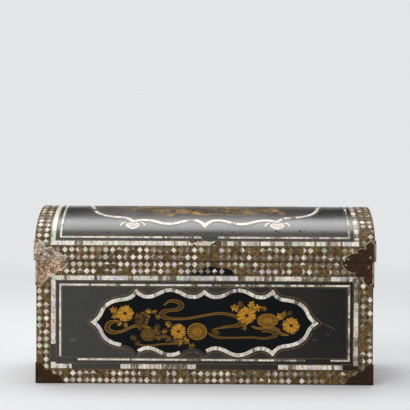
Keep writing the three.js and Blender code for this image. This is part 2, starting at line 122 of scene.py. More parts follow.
class CofferSizes(bpy.types.PropertyGroup):
    """Sizes of the inlay and the metalwork, in millimetres."""

    lozenge_pitch: length("Lozenge pitch", "Distance from one shell lozenge to the next", 8.4)
    lozenge_fill: length("Lozenge fill", "Share of the pitch that a lozenge takes up", 0.87)
    band_width: length("Band width", "Width of the outer shell band", 5.5)
    line_width: length("Line width", "Width of the inner shell line", 2.3)
    cartouche_width: length("Outline width", "Width of the cusped shell outlines", 4.5)
    end_cartouche_width: length("End outline width", "Width of the outlines on the case ends", 3.6)
    gold_line_width: length("Gold line width", "Width of the painted gold lines", 0.45)
    mount_thickness: length("Mount thickness", "Thickness of the copper mounts between their rims", 0.7)
    mount_rim: length("Mount rim", "Width of the raised rim of a mount", 1.0)
    nail_radius: length("Nail radius", "Radius of the domed nails", 1.15)
    petals: IntProperty(name="Petals", description="Petals of a painted flower", default=21, min=8, max=40)


class CofferColours(bpy.types.PropertyGroup):
    """Colours of the finishes."""

    lacquer: tone("Lacquer", "Black lacquer of the panels", "161514")
    worn_lacquer: tone("Worn lacquer", "Lacquer worn brown along the arrises", "4a3423")
    field: tone("Field", "Lacquer inside the cusped outlines", "0a0c10")
    inside: tone("Inside", "Lacquer of the inside", "171310")
    ground: tone("Ground", "Gold-dusted ground between the lozenges", "5f4817")
    ground_dark: tone("Dark ground", "Rubbed patches of that ground", "33231a")
    gold: tone("Gold", "Bright gold powder", "c9922c")
    gold_worn: tone("Worn gold", "Rubbed gold powder", "62481f")
    gold_line: tone("Gold lines", "Thin gold lines", "80683f")
    shell_white: tone("White shell", "Pearl shell that shows white", "f5f1e0")
    shell_rose: tone("Rose shell", "Pearl shell that shows pink", "e8d3c6")
    shell_green: tone("Green shell", "Pearl shell that shows green", "cee3c6")
    shell_lilac: tone("Lilac shell", "Pearl shell that shows lilac", "dccde0")
    shell_dull: tone("Dull shell", "Shell that has gone dull", "6c6546")
    copper_pale: tone("Pale copper", "Copper rubbed pale", "dcb89c")
    copper_dark: tone("Dark copper", "Copper toned dark", "452b17")
    copper_silver: tone("Silvered copper", "Copper with what is left of its silvering", "d2c5b6")


class CofferStage(bpy.types.PropertyGroup):
    """The floor, the lamps and the camera."""

    floor: tone("Floor", "Colour of the floor and the backdrop", "e4e5e7")
    lens: measure("Lens", "Focal length", 113.65, "CAMERA")
    distance: measure("Distance", "From the camera to the middle of the case", 1.6841, "LENGTH")
    camera_height: measure("Camera height", "Height of the camera over the floor", 0.2646, "LENGTH")
    camera_side: measure("Camera side", "How far the camera stands to the right", 0.0198, "LENGTH")
    overhead: measure("Overhead lamp", "Power of the wide lamp overhead", 22.0, "POWER")
    front: measure("Front lamp", "Power of the wide lamp in front", 42.0, "POWER")


# The dome


def dome_radii():
    """The shoulder's and the crest's radius, which close the three arcs on the lid's depth and rise."""
    rise = LID_TOP - RAIL_TOP
    shoulder_run = math.cos(SPRING_LEAN) - math.cos(SHOULDER_LEAN)
    shoulder_rise = math.sin(SHOULDER_LEAN) - math.sin(SPRING_LEAN)
    crest_run = math.cos(SHOULDER_LEAN)
    crest_rise = 1 - math.sin(SHOULDER_LEAN)
    both = shoulder_run * crest_rise - shoulder_rise * crest_run
    shoulder_radius = (LID_Y * crest_rise - rise * crest_run) / both
    return shoulder_radius, (shoulder_run * rise - shoulder_rise * LID_Y) / both


SHOULDER_RADIUS, CREST_RADIUS = dome_radii()
SHOULDER_LENGTH = SHOULDER_RADIUS * (SHOULDER_LEAN - SPRING_LEAN)
DOME_LENGTH = 2 * SHOULDER_LENGTH + CREST_RADIUS * (math.pi - 2 * SHOULDER_LEAN)


def dome_point(along, height=0.0):
    """A point of the dome, in Y and Z over the seam, at a distance along it from the front rail."""
    front = along <= DOME_LENGTH / 2
    reach = along if front else DOME_LENGTH - along
    if reach <= SHOULDER_LENGTH:
        lean = SPRING_LEAN + reach / SHOULDER_RADIUS
        radius = SHOULDER_RADIUS
        centre_y = -LID_Y + radius * math.cos(SPRING_LEAN)
        centre_z = RAIL_TOP - radius * math.sin(SPRING_LEAN)
    else:
        lean = SHOULDER_LEAN + (reach - SHOULDER_LENGTH) / CREST_RADIUS
        radius = CREST_RADIUS
        centre_y = 0.0
        centre_z = LID_TOP - radius
    y = centre_y - (radius + height) * math.cos(lean)
    return (y if front else -y), centre_z + (radius + height) * math.sin(lean)


def dome_height(from_edge):
    """The dome's height over the seam at a distance in from the lid's front edge."""
    low, high = 0.0, DOME_LENGTH / 2
    for _ in range(30):
        middle = (low + high) / 2
        if dome_point(middle)[0] + LID_Y < from_edge:
            low = middle
        else:
            high = middle
    return dome_point(low)[1]


# Faces: each puts a point drawn on it, u across, v up and a height over the wood, in space


def on_case_front(u, v, height):
    return Vector((u, -CASE_Y - height, v)) * MM


def on_case_back(u, v, height):
    return Vector((-u, CASE_Y + height, v)) * MM


def on_case_left(u, v, height):
    return Vector((-CASE_X - height, -u, v)) * MM


def on_case_right(u, v, height):
    return Vector((CASE_X + height, u, v)) * MM


def on_lid_left(u, v, height):
    return Vector((-LID_X - height, -u, SEAM + v)) * MM


def on_lid_right(u, v, height):
    return Vector((LID_X + height, u, SEAM + v)) * MM


def on_dome(u, v, height):
    y, z = dome_point(v, height)
    return Vector((u, y, SEAM + z)) * MM


def on_lid_front(u, v, height):
    """The front rail, and above its top the dome."""
    if v > RAIL_TOP:
        return on_dome(u, v - RAIL_TOP, height)
    return Vector((u, -LID_Y - height, SEAM + v)) * MM


def on_lid_back(u, v, height):
    """The back rail, and above its top the dome, seen from behind."""
    if v > RAIL_TOP:
        return on_dome(-u, DOME_LENGTH - (v - RAIL_TOP), height)
    return Vector((-u, LID_Y + height, SEAM + v)) * MM


# Mesh makers


HEAD_SUNK = 0.2  # how far a nail's head goes into what it stands on


class Work:
    """Collects the small solids of one piece, each with its own tint and its own direction of grain."""

    def __init__(self, place, map_of=None):
        self.place = place
        self.map_of = map_of or turned
        self.points = []
        self.flat = []
        self.faces = []
        self.tints = []
        self.grains = []
        self.slots = []
        self.slot = 0

    def ring(self, outline, height):
        start = len(self.points)
        self.points += [self.place(u, v, height) for u, v in outline]
        self.flat += outline
        return list(range(start, len(self.points)))

    def face(self, corners, tint, grain):
        self.faces.append(corners)
        self.tints.append(tint)
        self.grains.append(grain)
        self.slots.append(self.slot)

    def wall(self, lower, upper, tint, grain):
        for i in range(len(lower)):
            after = (i + 1) % len(lower)
            self.face([lower[i], lower[after], upper[after], upper[i]], tint, grain)

    def plate(self, outline, top, tint, grain=0.0, chamfer=0.12, bottom=BED):
        """A plate with a chamfered edge round a counter-clockwise outline, crowned from its middle."""
        foot = self.ring(outline, bottom)
        shoulder = self.ring(outline, top - chamfer / 2)
        crown = self.ring(moved_in(outline, chamfer), top)
        middle_u = sum(u for u, _ in outline) / len(outline)
        middle_v = sum(v for _, v in outline) / len(outline)
        middle = self.ring([(middle_u, middle_v)], top)[0]
        self.face(foot[::-1], tint, grain)
        self.wall(foot, shoulder, tint, grain)
        self.wall(shoulder, crown, tint, grain)
        for i in range(len(crown)):
            self.face([crown[i], crown[(i + 1) % len(crown)], middle], tint, grain)

    def strip(self, sides, top, tint, grain=0.0, chamfer=0.12, bottom=BED, closed=False):
        """A strip through stations that each give its left and its right edge, as seen along it."""
        rows = []
        for (lu, lv), (ru, rv) in sides:
            width = math.hypot(ru - lu, rv - lv)
            share = min(chamfer / max(width, 1e-6), 0.3)
            inner_left = (lu + (ru - lu) * share, lv + (rv - lv) * share)
            inner_right = (ru - (ru - lu) * share, rv - (rv - lv) * share)
            row = self.ring([(ru, rv)], bottom) + self.ring([(ru, rv)], top - chamfer / 2)
            row += self.ring([inner_right, inner_left], top)
            row += self.ring([(lu, lv)], top - chamfer / 2) + self.ring([(lu, lv)], bottom)
            rows.append(row)
        pairs = list(zip(rows, rows[1:] + rows[:1] if closed else rows[1:]))
        for here, after in pairs:
            for k in range(len(here)):
                k2 = (k + 1) % len(here)
                self.face([here[k], after[k], after[k2], here[k2]], tint, grain)
        if not closed:
            self.face(rows[0], tint, grain)
            self.face(rows[-1][::-1], tint, grain)

    def sheet(self, columns, top, bottom, tint):
        """A closed sheet through columns of points that all have as many points."""
        upper = [self.ring(column, top) for column in columns]
        lower = [self.ring(column, bottom) for column in columns]
        for i in range(len(columns) - 1):
            for k in range(len(columns[0]) - 1):
                self.face([upper[i][k], upper[i][k + 1], upper[i + 1][k + 1], upper[i + 1][k]], tint, 0.0)
                self.face([lower[i][k], lower[i + 1][k], lower[i + 1][k + 1], lower[i][k + 1]], tint, 0.0)
        self.wall(self.rim_of(lower), self.rim_of(upper), tint, 0.0)

    @staticmethod
    def rim_of(rows):
        """The points round the edge of a sheet, from its columns."""
        far_side = [row[-1] for row in rows[1:]]
        near_side = [row[0] for row in rows[-2:0:-1]]
        return rows[0] + far_side + rows[-1][-2::-1] + near_side

    def skin(self, sides, top):
        """A single sheet between the left and right points of its stations."""
        rows = [self.ring([left, right], top) for left, right in sides]
        for (a, b), (c, d) in zip(rows, rows[1:]):
            self.face([a, c, d, b], WHITE, 0.0)

    def dome_head(self, u, v, radius, height, base, tint):
        """A domed head that stands on base."""
        sides, rings = 10, 3
        loops = []
        for k in range(rings):
            turn = math.pi / 2 * k / rings
            loop = circle(u, v, radius * math.cos(turn), sides)
            loops.append(self.ring(loop, base + height * math.sin(turn)))
        top = self.ring([(u, v)], base + height)[0]
        foot = self.ring(circle(u, v, radius, sides), base - HEAD_SUNK)
        self.face(foot[::-1], tint, 0.0)
        self.wall(foot, loops[0], tint, 0.0)
        for lower, upper in zip(loops, loops[1:]):
            self.wall(lower, upper, tint, 0.0)
        for i in range(sides):
            self.face([loops[-1][i], loops[-1][(i + 1) % sides], top], tint, 0.0)

    def piece(self, name, *finishes, replaced=()):
        """The collected solids as one object. Each of its faces has one of its finishes."""
        if not self.faces:
            raise RuntimeError(f"{name} has no faces")
        made = mesh_object(name, self.points, self.faces, finishes, replaced)
        made.data.polygons.foreach_set("material_index", self.slots)
        tint = made.data.attributes.new("tint", "FLOAT_COLOR", "CORNER")
        tints = [c for face, t in zip(self.faces, self.tints) for _ in face for c in (*t, 1.0)]
        tint.data.foreach_set("color", tints)
        pattern = made.data.uv_layers.new(name="pattern")
        places = [self.map_of(*self.flat[i], g) for face, g in zip(self.faces, self.grains) for i in face]
        pattern.data.foreach_set("uv", [c for place in places for c in place])
        return made


def turned(u, v, angle):
    """A flat point turned by the grain's angle and moved on by it, so that no two plates are alike."""
    c, s = math.cos(angle), math.sin(angle)
    return u * c - v * s + 90 * angle, u * s + v * c


def body_of(name):
    """The body that a piece rides on, which its name gives."""
    return "lid" if name.startswith("lid") or "_lid_" in name else "case"


def slot_of(finish_name):
    """The frame's slot that a finish belongs to."""
    slots = {"shell": "pearl", "copper": "copper"}
    return slots.get(finish_name.split()[-1], "lacquer")


def mesh_object(name, points, faces, finishes, replaced=()):
    """A piece in its finishes, which stands for the nodes that it replaces."""
    body, slot = body_of(name), slot_of(finishes[0])
    mesh = bpy.data.meshes.new(name)
    mesh.from_pydata(points, [], faces)
    for each in finishes:
        mesh.materials.append(finish(each))
    made = bpy.data.objects.new(name, mesh)
    bpy.context.scene.collection.objects.link(made)
    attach(made, body)
    if replaced:
        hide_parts(*replaced)
    return made


def edit_mesh(made, edit, sharp=None):
    """Runs an edit on a piece's mesh, and may smooth it but for edges sharper than an angle in degrees."""
    shape = bmesh.new()
    shape.from_mesh(made.data)
    edit(shape)
    shape.to_mesh(made.data)
    shape.free()
    if sharp:
        made.data.shade_smooth()
        made.data.set_sharp_from_angle(angle=math.radians(sharp))


def close_skin(made, fill=None, sharp=35):
    """Joins a piece's points, fills what is open and turns its faces outwards."""

    def edit(shape):
        bmesh.ops.remove_doubles(shape, verts=shape.verts, dist=1e-6)
        if fill:
            fill(shape)
        bmesh.ops.recalc_face_normals(shape, faces=shape.faces)

    edit_mesh(made, edit, sharp)


def join(target, other, material=None):
    """Adds another piece's mesh to the target, in one of the target's materials, and removes that piece."""

    def edit(shape):
        first = len(shape.faces)
        shape.from_mesh(other.data)
        shape.faces.ensure_lookup_table()
        for face in shape.faces[first:] if material else ():
            face.material_index = material

    edit_mesh(target, edit)
    bpy.data.objects.remove(other)


def circle(u, v, radius, sides):
    turns = [2 * math.pi * k / sides for k in range(sides)]
    return [(u + radius * math.cos(t), v + radius * math.sin(t)) for t in turns]


def moved_in(outline, distance):
    """A closed counter-clockwise outline moved inwards, mitred at its corners."""
    return [left for left, _ in path_sides(outline, distance, closed=True)]


def path_sides(path, half_width, closed=False):
    """The left and right edge of a band at each point of a path, mitred where the path turns."""
    count = len(path)
    sides = []
    for i, (u, v) in enumerate(path):
        before = path[i - 1] if closed or i > 0 else path[i]
        after = path[(i + 1) % count] if closed or i < count - 1 else path[i]
        arriving = Vector((u - before[0], v - before[1]))
        leaving = Vector((after[0] - u, after[1] - v))
        arriving = (arriving if arriving.length > 1e-9 else leaving).normalized()
        leaving = (leaving if leaving.length > 1e-9 else arriving).normalized()
        across = Vector((-arriving.y - leaving.y, arriving.x + leaving.x)).normalized()
        square_on = across.x * -leaving.y + across.y * leaving.x
        reach = half_width / max(square_on, 0.2)
        x, y = across.x * reach, across.y * reach
        sides.append(((u + x, v + y), (u - x, v - y)))
    return sides


def smooth_path(knots, step):
    """A smooth path through knots, with a point about every step."""
    last = len(knots) - 1
    path = []
    for i in range(last):
        p0, p1, p2, p3 = (Vector(knots[min(max(k, 0), last)]) for k in range(i - 1, i + 3))
        parts = max(2, round((p2 - p1).length / step))
        for k in range(parts):
            t = k / parts
            point = 2 * p1 + (p2 - p0) * t + (2 * p0 - 5 * p1 + 4 * p2 - p3) * t * t
            point += (3 * p1 - p0 - 3 * p2 + p3) * t**3
            path.append(tuple(point / 2))
    return path + [tuple(knots[-1])]


def curve_points(controls):
    """The points of a Bezier curve of any degree, without its last."""
    steps = 7
    points = []
    for k in range(steps):
        layer = [Vector(c) for c in controls]
        while len(layer) > 1:
            layer = [a.lerp(b, k / steps) for a, b in zip(layer, layer[1:])]
        points.append(tuple(layer[0]))
    return points


def cut_path(path, lengths):
    """Stretches of a path of the given lengths, one after another, each a list of points."""
    stretches = []
    at, here = 0, Vector(path[0])
    for wanted in lengths:
        stretch, left = [tuple(here)], wanted
        while left > 1e-6 and at < len(path) - 1:
            ahead = Vector(path[at + 1])
            span = (ahead - here).length
            if span <= left:
                left -= span
                at += 1
                here = ahead
            else:
                here = here.lerp(ahead, left / span)
                left = 0.0
            stretch.append(tuple(here))
        if len(stretch) > 1:
            stretches.append(stretch)
    return stretches


def path_length(path):
    return sum(math.dist(a, b) for a, b in zip(path, path[1:]))


# Shader wiring


class Wiring:
    """Adds nodes to a tree and joins them. An input may be a number, a colour or another node's output."""

    def __init__(self, tree):
        self.tree = tree

    def node(self, kind, inputs=None, **settings):
        made = self.tree.nodes.new(kind)
        for name, value in settings.items():
            setattr(made, name, value)
        for socket, value in (inputs or {}).items():
            self.feed(made.inputs[socket], value)
        return made

    def feed(self, socket, value):
        if isinstance(value, bpy.types.NodeSocket):
            self.tree.links.new(value, socket)
        elif socket.type == "RGBA" and len(value) == 3:
            socket.default_value = (*value, 1.0)
        else:
            socket.default_value = value

    def math(self, operation, first, second=0.0, clamp=False):
        made = self.node("ShaderNodeMath", operation=operation, use_clamp=clamp)
        self.feed(made.inputs[0], first)
        self.feed(made.inputs[1], second)
        return made.outputs[0]

    def plus(self, first, second, clamp=False):
        return self.math("ADD", first, second, clamp)

    def minus(self, first, second):
        return self.math("SUBTRACT", first, second)

    def times(self, first, second, clamp=False):
        return self.math("MULTIPLY", first, second, clamp)

    def mix(self, share, first, second, blend="MIX"):
        made = self.node("ShaderNodeMix", data_type="RGBA", blend_type=blend)
        self.feed(made.inputs[0], share)
        self.feed(made.inputs[6], first)
        self.feed(made.inputs[7], second)
        return made.outputs[2]

    def between(self, value, low, high):
        """The value's smooth rise from low to high, as a number from 0 to 1."""
        ends = {"From Min": low, "From Max": high, "Value": value}
        return self.node("ShaderNodeMapRange", ends, interpolation_type="SMOOTHSTEP").outputs[0]

    def stretched(self, vector, scale):
        return self.node("ShaderNodeVectorMath", {0: vector, 1: scale}, operation="MULTIPLY").outputs[0]

    def axis(self, vector, name):
        return self.node("ShaderNodeSeparateXYZ", {0: vector}).outputs[name]

    def noise(self, vector, scale, detail=3.0, roughness=0.55):
        inputs = {"Vector": vector, "Scale": scale, "Detail": detail, "Roughness": roughness}
        return self.node("ShaderNodeTexNoise", inputs).outputs["Fac"]

    def cells(self, vector, scale, feature="F1", output="Distance"):
        inputs = {"Vector": vector, "Scale": scale}
        return self.node("ShaderNodeTexVoronoi", inputs, feature=feature).outputs[output]

    def effect(self, name, inputs):
        made = self.node("ShaderNodeGroup", node_tree=bpy.data.node_groups[name])
        for socket, value in inputs.items():
            self.feed(made.inputs[socket], value)
        return made.outputs


SOCKET_KINDS = {"vector": "NodeSocketVector", "value": "NodeSocketFloat", "colour": "NodeSocketColor"}


def effect_group(name, inputs, outputs):
    """An empty shader group with the named sockets, its wiring and the inner ends of its sockets."""
    tree = bpy.data.node_groups.new(name, "ShaderNodeTree")
    for socket, kind in inputs.items():
        tree.interface.new_socket(socket, in_out="INPUT", socket_type=SOCKET_KINDS[kind])
    for socket, kind in outputs.items():
        tree.interface.new_socket(socket, in_out="OUTPUT", socket_type=SOCKET_KINDS[kind])
    wiring = Wiring(tree)
    given = tree.nodes.new("NodeGroupInput").outputs
    result = tree.nodes.new("NodeGroupOutput").inputs
    return wiring, given, result


def make_drift_group():
    """Broad and fine unevenness, from 0 to 1 and 0.5 on the whole."""
    w, given, result = effect_group("Drift", {"Vector": "vector"}, {"Broad": "value", "Fine": "value"})
    w.feed(result["Broad"], w.between(w.noise(given["Vector"], 14.0, 2.0), 0.3, 0.7))
    w.feed(result["Fine"], w.between(w.noise(given["Vector"], 130.0, 4.0), 0.3, 0.7))


def make_arris_group():
    """Where the finish is rubbed through along the arrises. Nearness is 1 on an arris and 0 far from it."""
    w, given, result = effect_group(
        "Arris wear", {"Vector": "vector", "Nearness": "value", "Amount": "value"}, {"Mask": "value"}
    )
    ragged = w.noise(given["Vector"], 95.0, 5.0, 0.65)
    reach = w.plus(w.times(given["Amount"], 0.42), ragged)
    shown = w.plus(reach, w.minus(given["Nearness"], 1.0))
    w.feed(result["Mask"], w.between(shown, 0.5, 0.62))


def make_scratch_group():
    """Short fine scratches in two directions."""
    w, given, result = effect_group(
        "Scratches", {"Vector": "vector", "Amount": "value"}, {"Mask": "value"}
    )
    lines = []
    for stretch in ((9.0, 40.0, 260.0), (230.0, 60.0, 16.0)):
        streaks = w.noise(w.stretched(given["Vector"], stretch), 1.6, 2.0, 0.6)
        lines.append(w.between(streaks, 0.7, 0.76))
    patches = w.between(w.noise(given["Vector"], 17.0, 2.0), 0.5, 0.64)
    both = w.math("MAXIMUM", lines[0], lines[1])
    w.feed(result["Mask"], w.times(w.times(both, patches), given["Amount"], clamp=True))


def make_dust_group():
    """Dust that settles on what faces up, thicker in some places."""
    w, given, result = effect_group("Dust", {"Vector": "vector", "Amount": "value"}, {"Mask": "value"})
    facing = w.axis(w.node("ShaderNodeNewGeometry").outputs["Normal"], "Z")
    clouds = w.between(w.noise(given["Vector"], 30.0, 6.0, 0.7), 0.35, 0.8)
    up = w.between(facing, 0.2, 1.0)
    w.feed(result["Mask"], w.times(w.times(up, clouds), given["Amount"], clamp=True))


def make_shell_group():
    """Growth lines and shimmer of pearl shell. Grain runs across the lines, in millimetres."""
    w, given, result = effect_group(
        "Shell",
        {"Grain": "vector", "Tint": "colour", "Shift": "colour", "Shade": "colour"},
        {"Color": "colour", "Height": "value", "Dull": "value"},
    )
    fine = w.noise(w.stretched(given["Grain"], (1.0, 0.16, 1.0)), 1.3, 3.0, 0.6)
    broad = w.noise(w.stretched(given["Grain"], (1.0, 0.35, 1.0)), 0.27, 1.0)
    flaws = w.noise(w.stretched(given["Grain"], (0.62, 0.3, 1.0)), 0.55, 2.0, 0.6)
    lines = w.between(fine, 0.32, 0.6)
    clear = w.between(flaws, 0.33, 0.47)
    shimmer = w.between(broad, 0.42, 0.64)
    drifted = w.mix(w.times(shimmer, 0.5), given["Tint"], given["Shift"])
    between_lines = w.times(w.minus(1.0, lines), 0.28)
    lined = w.mix(between_lines, drifted, given["Shade"], "MULTIPLY")
    flawed = w.times(w.minus(1.0, clear), 0.8)
    shaded = w.mix(flawed, lined, given["Shade"], "MULTIPLY")
    w.feed(result["Color"], shaded)
    w.feed(result["Height"], lines)
    w.feed(result["Dull"], w.minus(1.0, lines))


def make_powder_group():
    """Gold powder: how well it covers, and single bright grains."""
    w, given, result = effect_group(
        "Gold powder", {"Vector": "vector", "Cover": "value"}, {"Cover": "value", "Sparkle": "value"}
    )
    rubbed = w.noise(given["Vector"], 210.0, 5.0, 0.62)
    needed = w.minus(0.86, w.times(given["Cover"], 0.55))
    w.feed(result["Cover"], w.between(w.minus(rubbed, needed), -0.12, 0.1))
    grains = w.cells(given["Vector"], 2600.0, "F1", "Color")
    bright = w.node("ShaderNodeSeparateColor", {0: grains}).outputs[0]
    w.feed(result["Sparkle"], w.between(bright, 0.62, 0.95))


SCROLL_SWAY = 0.016  # how far the engraved scrolls wander, in metres


def make_engraving_group():
    """Chiselled scrolls on a punched ground, as a height, and the dirt that stays in the low parts."""
    w, given, result = effect_group("Engraving", {"Vector": "vector"}, {"Height": "value", "Dirt": "value"})
    noise_inputs = {"Vector": given["Vector"], "Scale": 70.0, "Detail": 1.0}
    bent = w.node("ShaderNodeTexNoise", noise_inputs).outputs["Color"]
    swayed = w.stretched(bent, (SCROLL_SWAY,) * 3)
    moved = w.node("ShaderNodeVectorMath", {0: given["Vector"], 1: swayed}, operation="ADD").outputs[0]
    scroll = w.between(w.cells(moved, 260.0, "DISTANCE_TO_EDGE"), 0.02, 0.12)
    punched = w.between(w.cells(given["Vector"], 1150.0), 0.2, 0.55)
    low = w.times(scroll, 0.75)
    w.feed(result["Height"], w.minus(1.0, w.plus(low, w.times(punched, 0.2))))
    w.feed(result["Dirt"], w.times(low, w.between(w.noise(given["Vector"], 60.0), 0.3, 0.7)))


EFFECTS = (
    make_drift_group, make_arris_group, make_scratch_group, make_dust_group, make_shell_group, make_powder_group,
    make_engraving_group,
)


# Materials

# Tones that the finishes mix in
# The first tone is a painted sheen: a grey that lightens the case's lacquer towards its left end.
PAINTED_SHEEN_TONE = colour("8b8b86")
SCRATCH_TONE = colour("6a655c")
DUST_ON_LACQUER = colour("a8a296")
DUST_ON_SHELL = colour("9a9184")
SHELL_SHADE = colour("8d877e")
GROUND_GAP = colour("3f2012")
GROUND_LIGHT = colour("8c6f3a")
GROUND_LOW = colour("241712")
GOLD_PALE = colour("d6c38c")
GOLD_GONE = colour("2a1c0e")
COPPER_PATINA = colour("6a573c")
COPPER_DIRT = colour("1e150d")
COPPER_BLACK = colour("1c140d")
# The lid field's browner tone is partly its own colour and partly a painted sheen for the lid's crest.
LID_FIELD = colour("241f1b")


def new_material(name, **constants):
    """A material, its wiring, its Principled shader and the place on the object as a vector."""
    material = bpy.data.materials.new(name)
    material.use_nodes = True
    wiring = Wiring(material.node_tree)
    shader = material.node_tree.nodes["Principled BSDF"]
    for socket, value in constants.items():
        wiring.feed(shader.inputs[socket.replace("_", " ")], value)
    place = wiring.node("ShaderNodeTexCoord").outputs["Object"]
    return material, wiring, shader, place


def attribute(wiring, name, output):
    return wiring.node("ShaderNodeAttribute", attribute_name=name).outputs[output]


def bumped(wiring, shader, height, strength, distance):
    bump = wiring.node("ShaderNodeBump", {"Height": height, "Strength": strength, "Distance": distance})
    wiring.feed(shader.inputs["Normal"], bump.outputs["Normal"])


PAINTED_SHEEN_REACH = 0.19  # from the middle to where the painted grey sheen starts and ends, in metres
POLISHED = 0.24  # roughness of the lacquer's clear top


def lacquer_material(
    name, base, worn, dusty=0.25, wear=0.6, rough=POLISHED, scratched=0.5, bend=1.37, coat=0.0, painted_sheen=0.0
):
    """Polished lacquer, rubbed brown along the arrises, with fine scratches, some dust and a painted grey
    sheen that grows towards the coffer's left end, where the light comes from."""
    material, w, shader, place = new_material(name, IOR=bend, Coat_Weight=coat, Coat_Roughness=POLISHED)
    drift = w.effect("Drift", {"Vector": place})
    near = attribute(w, "arris", "Fac")
    rubbed = w.effect("Arris wear", {"Vector": place, "Nearness": near, "Amount": wear})["Mask"]
    marks = w.effect("Scratches", {"Vector": place, "Amount": scratched})["Mask"]
    dust = w.effect("Dust", {"Vector": place, "Amount": dusty})["Mask"]
    warm = tuple(c * s for c, s in zip(base, (1.7, 1.5, 1.25)))
    tinted = w.mix(w.times(drift["Broad"], 0.55), base, warm)
    # Painted sheen: the lacquer greys towards the left end, as if lit more there.
    leftwards = w.between(w.axis(place, "X"), PAINTED_SHEEN_REACH, -PAINTED_SHEEN_REACH)
    with_painted_sheen = w.mix(w.times(leftwards, painted_sheen), tinted, PAINTED_SHEEN_TONE)
    with_wear = w.mix(rubbed, with_painted_sheen, worn)
    with_marks = w.mix(w.times(marks, 0.5), with_wear, SCRATCH_TONE)
    w.feed(shader.inputs["Base Color"], w.mix(w.times(dust, 0.12), with_marks, DUST_ON_LACQUER))
    gloss = w.plus(w.times(drift["Broad"], 0.08), rough - 0.04)
    dulled = w.plus(gloss, w.times(drift["Fine"], 0.05))
    rougher = w.plus(dulled, w.times(w.math("MAXIMUM", rubbed, marks), 0.22))
    w.feed(shader.inputs["Roughness"], w.plus(rougher, w.times(dust, 0.1)))
    lows = w.minus(drift["Broad"], w.times(rubbed, 0.4))
    bumped(w, shader, w.minus(lows, w.times(marks, 0.25)), 0.35, 0.0004)
    return material


def shell_material(colours):
    """Pearl shell, tinted piece by piece, with growth lines."""
    material, w, shader, place = new_material("Pearl shell", IOR=1.6, Coat_Roughness=0.08)
    grain = w.node("ShaderNodeUVMap", uv_map="pattern").outputs["UV"]
    tint = attribute(w, "tint", "Color")
    colouring = {"Grain": grain, "Tint": tint, "Shift": colours.shell_rose, "Shade": SHELL_SHADE}
    look = w.effect("Shell", colouring)
    dust = w.effect("Dust", {"Vector": place, "Amount": 0.4})["Mask"]
    w.feed(shader.inputs["Base Color"], w.mix(w.times(dust, 0.3), look["Color"], DUST_ON_SHELL))
    w.feed(shader.inputs["Roughness"], w.plus(w.times(look["Dull"], 0.18), 0.2))
    w.feed(shader.inputs["Coat Weight"], w.times(look["Height"], 0.5))
    bumped(w, shader, look["Height"], 0.3, 0.0001)
    return material


def ground_material(colours):
    """Gold-dusted ground: a darker diamond in each gap between four lozenges, and rubbed patches."""
    material, w, shader, place = new_material("Gold ground", IOR=1.36)
    grid = w.node("ShaderNodeUVMap", uv_map="pattern").outputs["UV"]
    across = w.node("ShaderNodeSeparateXYZ", {0: grid})
    offsets = []
    for axis in (0, 1):
        share = w.math("FRACT", across.outputs[axis])
        offsets.append(w.math("ABSOLUTE", w.minus(share, 0.5)))
    from_lozenge = w.plus(offsets[0], offsets[1])
    gap = w.between(from_lozenge, 0.6, 0.72)
    edge = w.times(w.between(from_lozenge, 0.48, 0.53), w.minus(1.0, gap))
    powder = w.effect("Gold powder", {"Vector": place, "Cover": 0.62})
    patches = w.between(w.noise(place, 46.0, 5.0, 0.65), 0.46, 0.66)
    base = w.mix(w.times(gap, 0.9), colours.ground, GROUND_GAP)
    golden = w.mix(w.times(w.times(edge, powder["Cover"]), 0.8), base, colours.gold_line)
    grained = w.mix(w.times(powder["Sparkle"], 0.45), golden, colours.gold_line)
    mottle = w.noise(place, 260.0, 3.0, 0.6)
    lighter = w.mix(w.times(w.between(mottle, 0.5, 0.66), 0.6), grained, GROUND_LIGHT)
    darker = w.mix(w.times(w.between(mottle, 0.5, 0.36), 0.65), lighter, GROUND_LOW)
    w.feed(shader.inputs["Base Color"], w.mix(w.times(patches, 0.6), darker, colours.ground_dark))
    w.feed(shader.inputs["Metallic"], w.times(powder["Sparkle"], 0.3))
    w.feed(shader.inputs["Roughness"], w.minus(0.55, w.times(powder["Cover"], 0.14)))
    bumped(w, shader, w.plus(powder["Cover"], powder["Sparkle"]), 0.35, 0.00008)
    return material


def gold_material(name, cover, bend=1.28, pale=0.0):
    """Gold powder on lacquer, tinted piece by piece, rubbed through in places, with painted glints on single
    grains.
    """
    material, w, shader, place = new_material(name, IOR=bend)
    powder = w.effect("Gold powder", {"Vector": place, "Cover": cover})
    tint = w.mix(pale, attribute(w, "tint", "Color"), GOLD_PALE)
    # Painted glints: single grains get a gold brighter than the rest of the powder.
    glint_gold = w.mix(1.0, tint, (1.7, 1.6, 1.45), "MULTIPLY")
    bright = w.mix(w.times(powder["Sparkle"], 0.5), tint, glint_gold)
    w.feed(shader.inputs["Base Color"], w.mix(powder["Cover"], GOLD_GONE, bright))
    w.feed(shader.inputs["Metallic"], w.times(powder["Cover"], 0.45))
    w.feed(shader.inputs["Roughness"], w.minus(0.52, w.times(powder["Sparkle"], 0.16)))
    bumped(w, shader, w.plus(powder["Cover"], powder["Sparkle"]), 0.4, 0.00008)
    return material


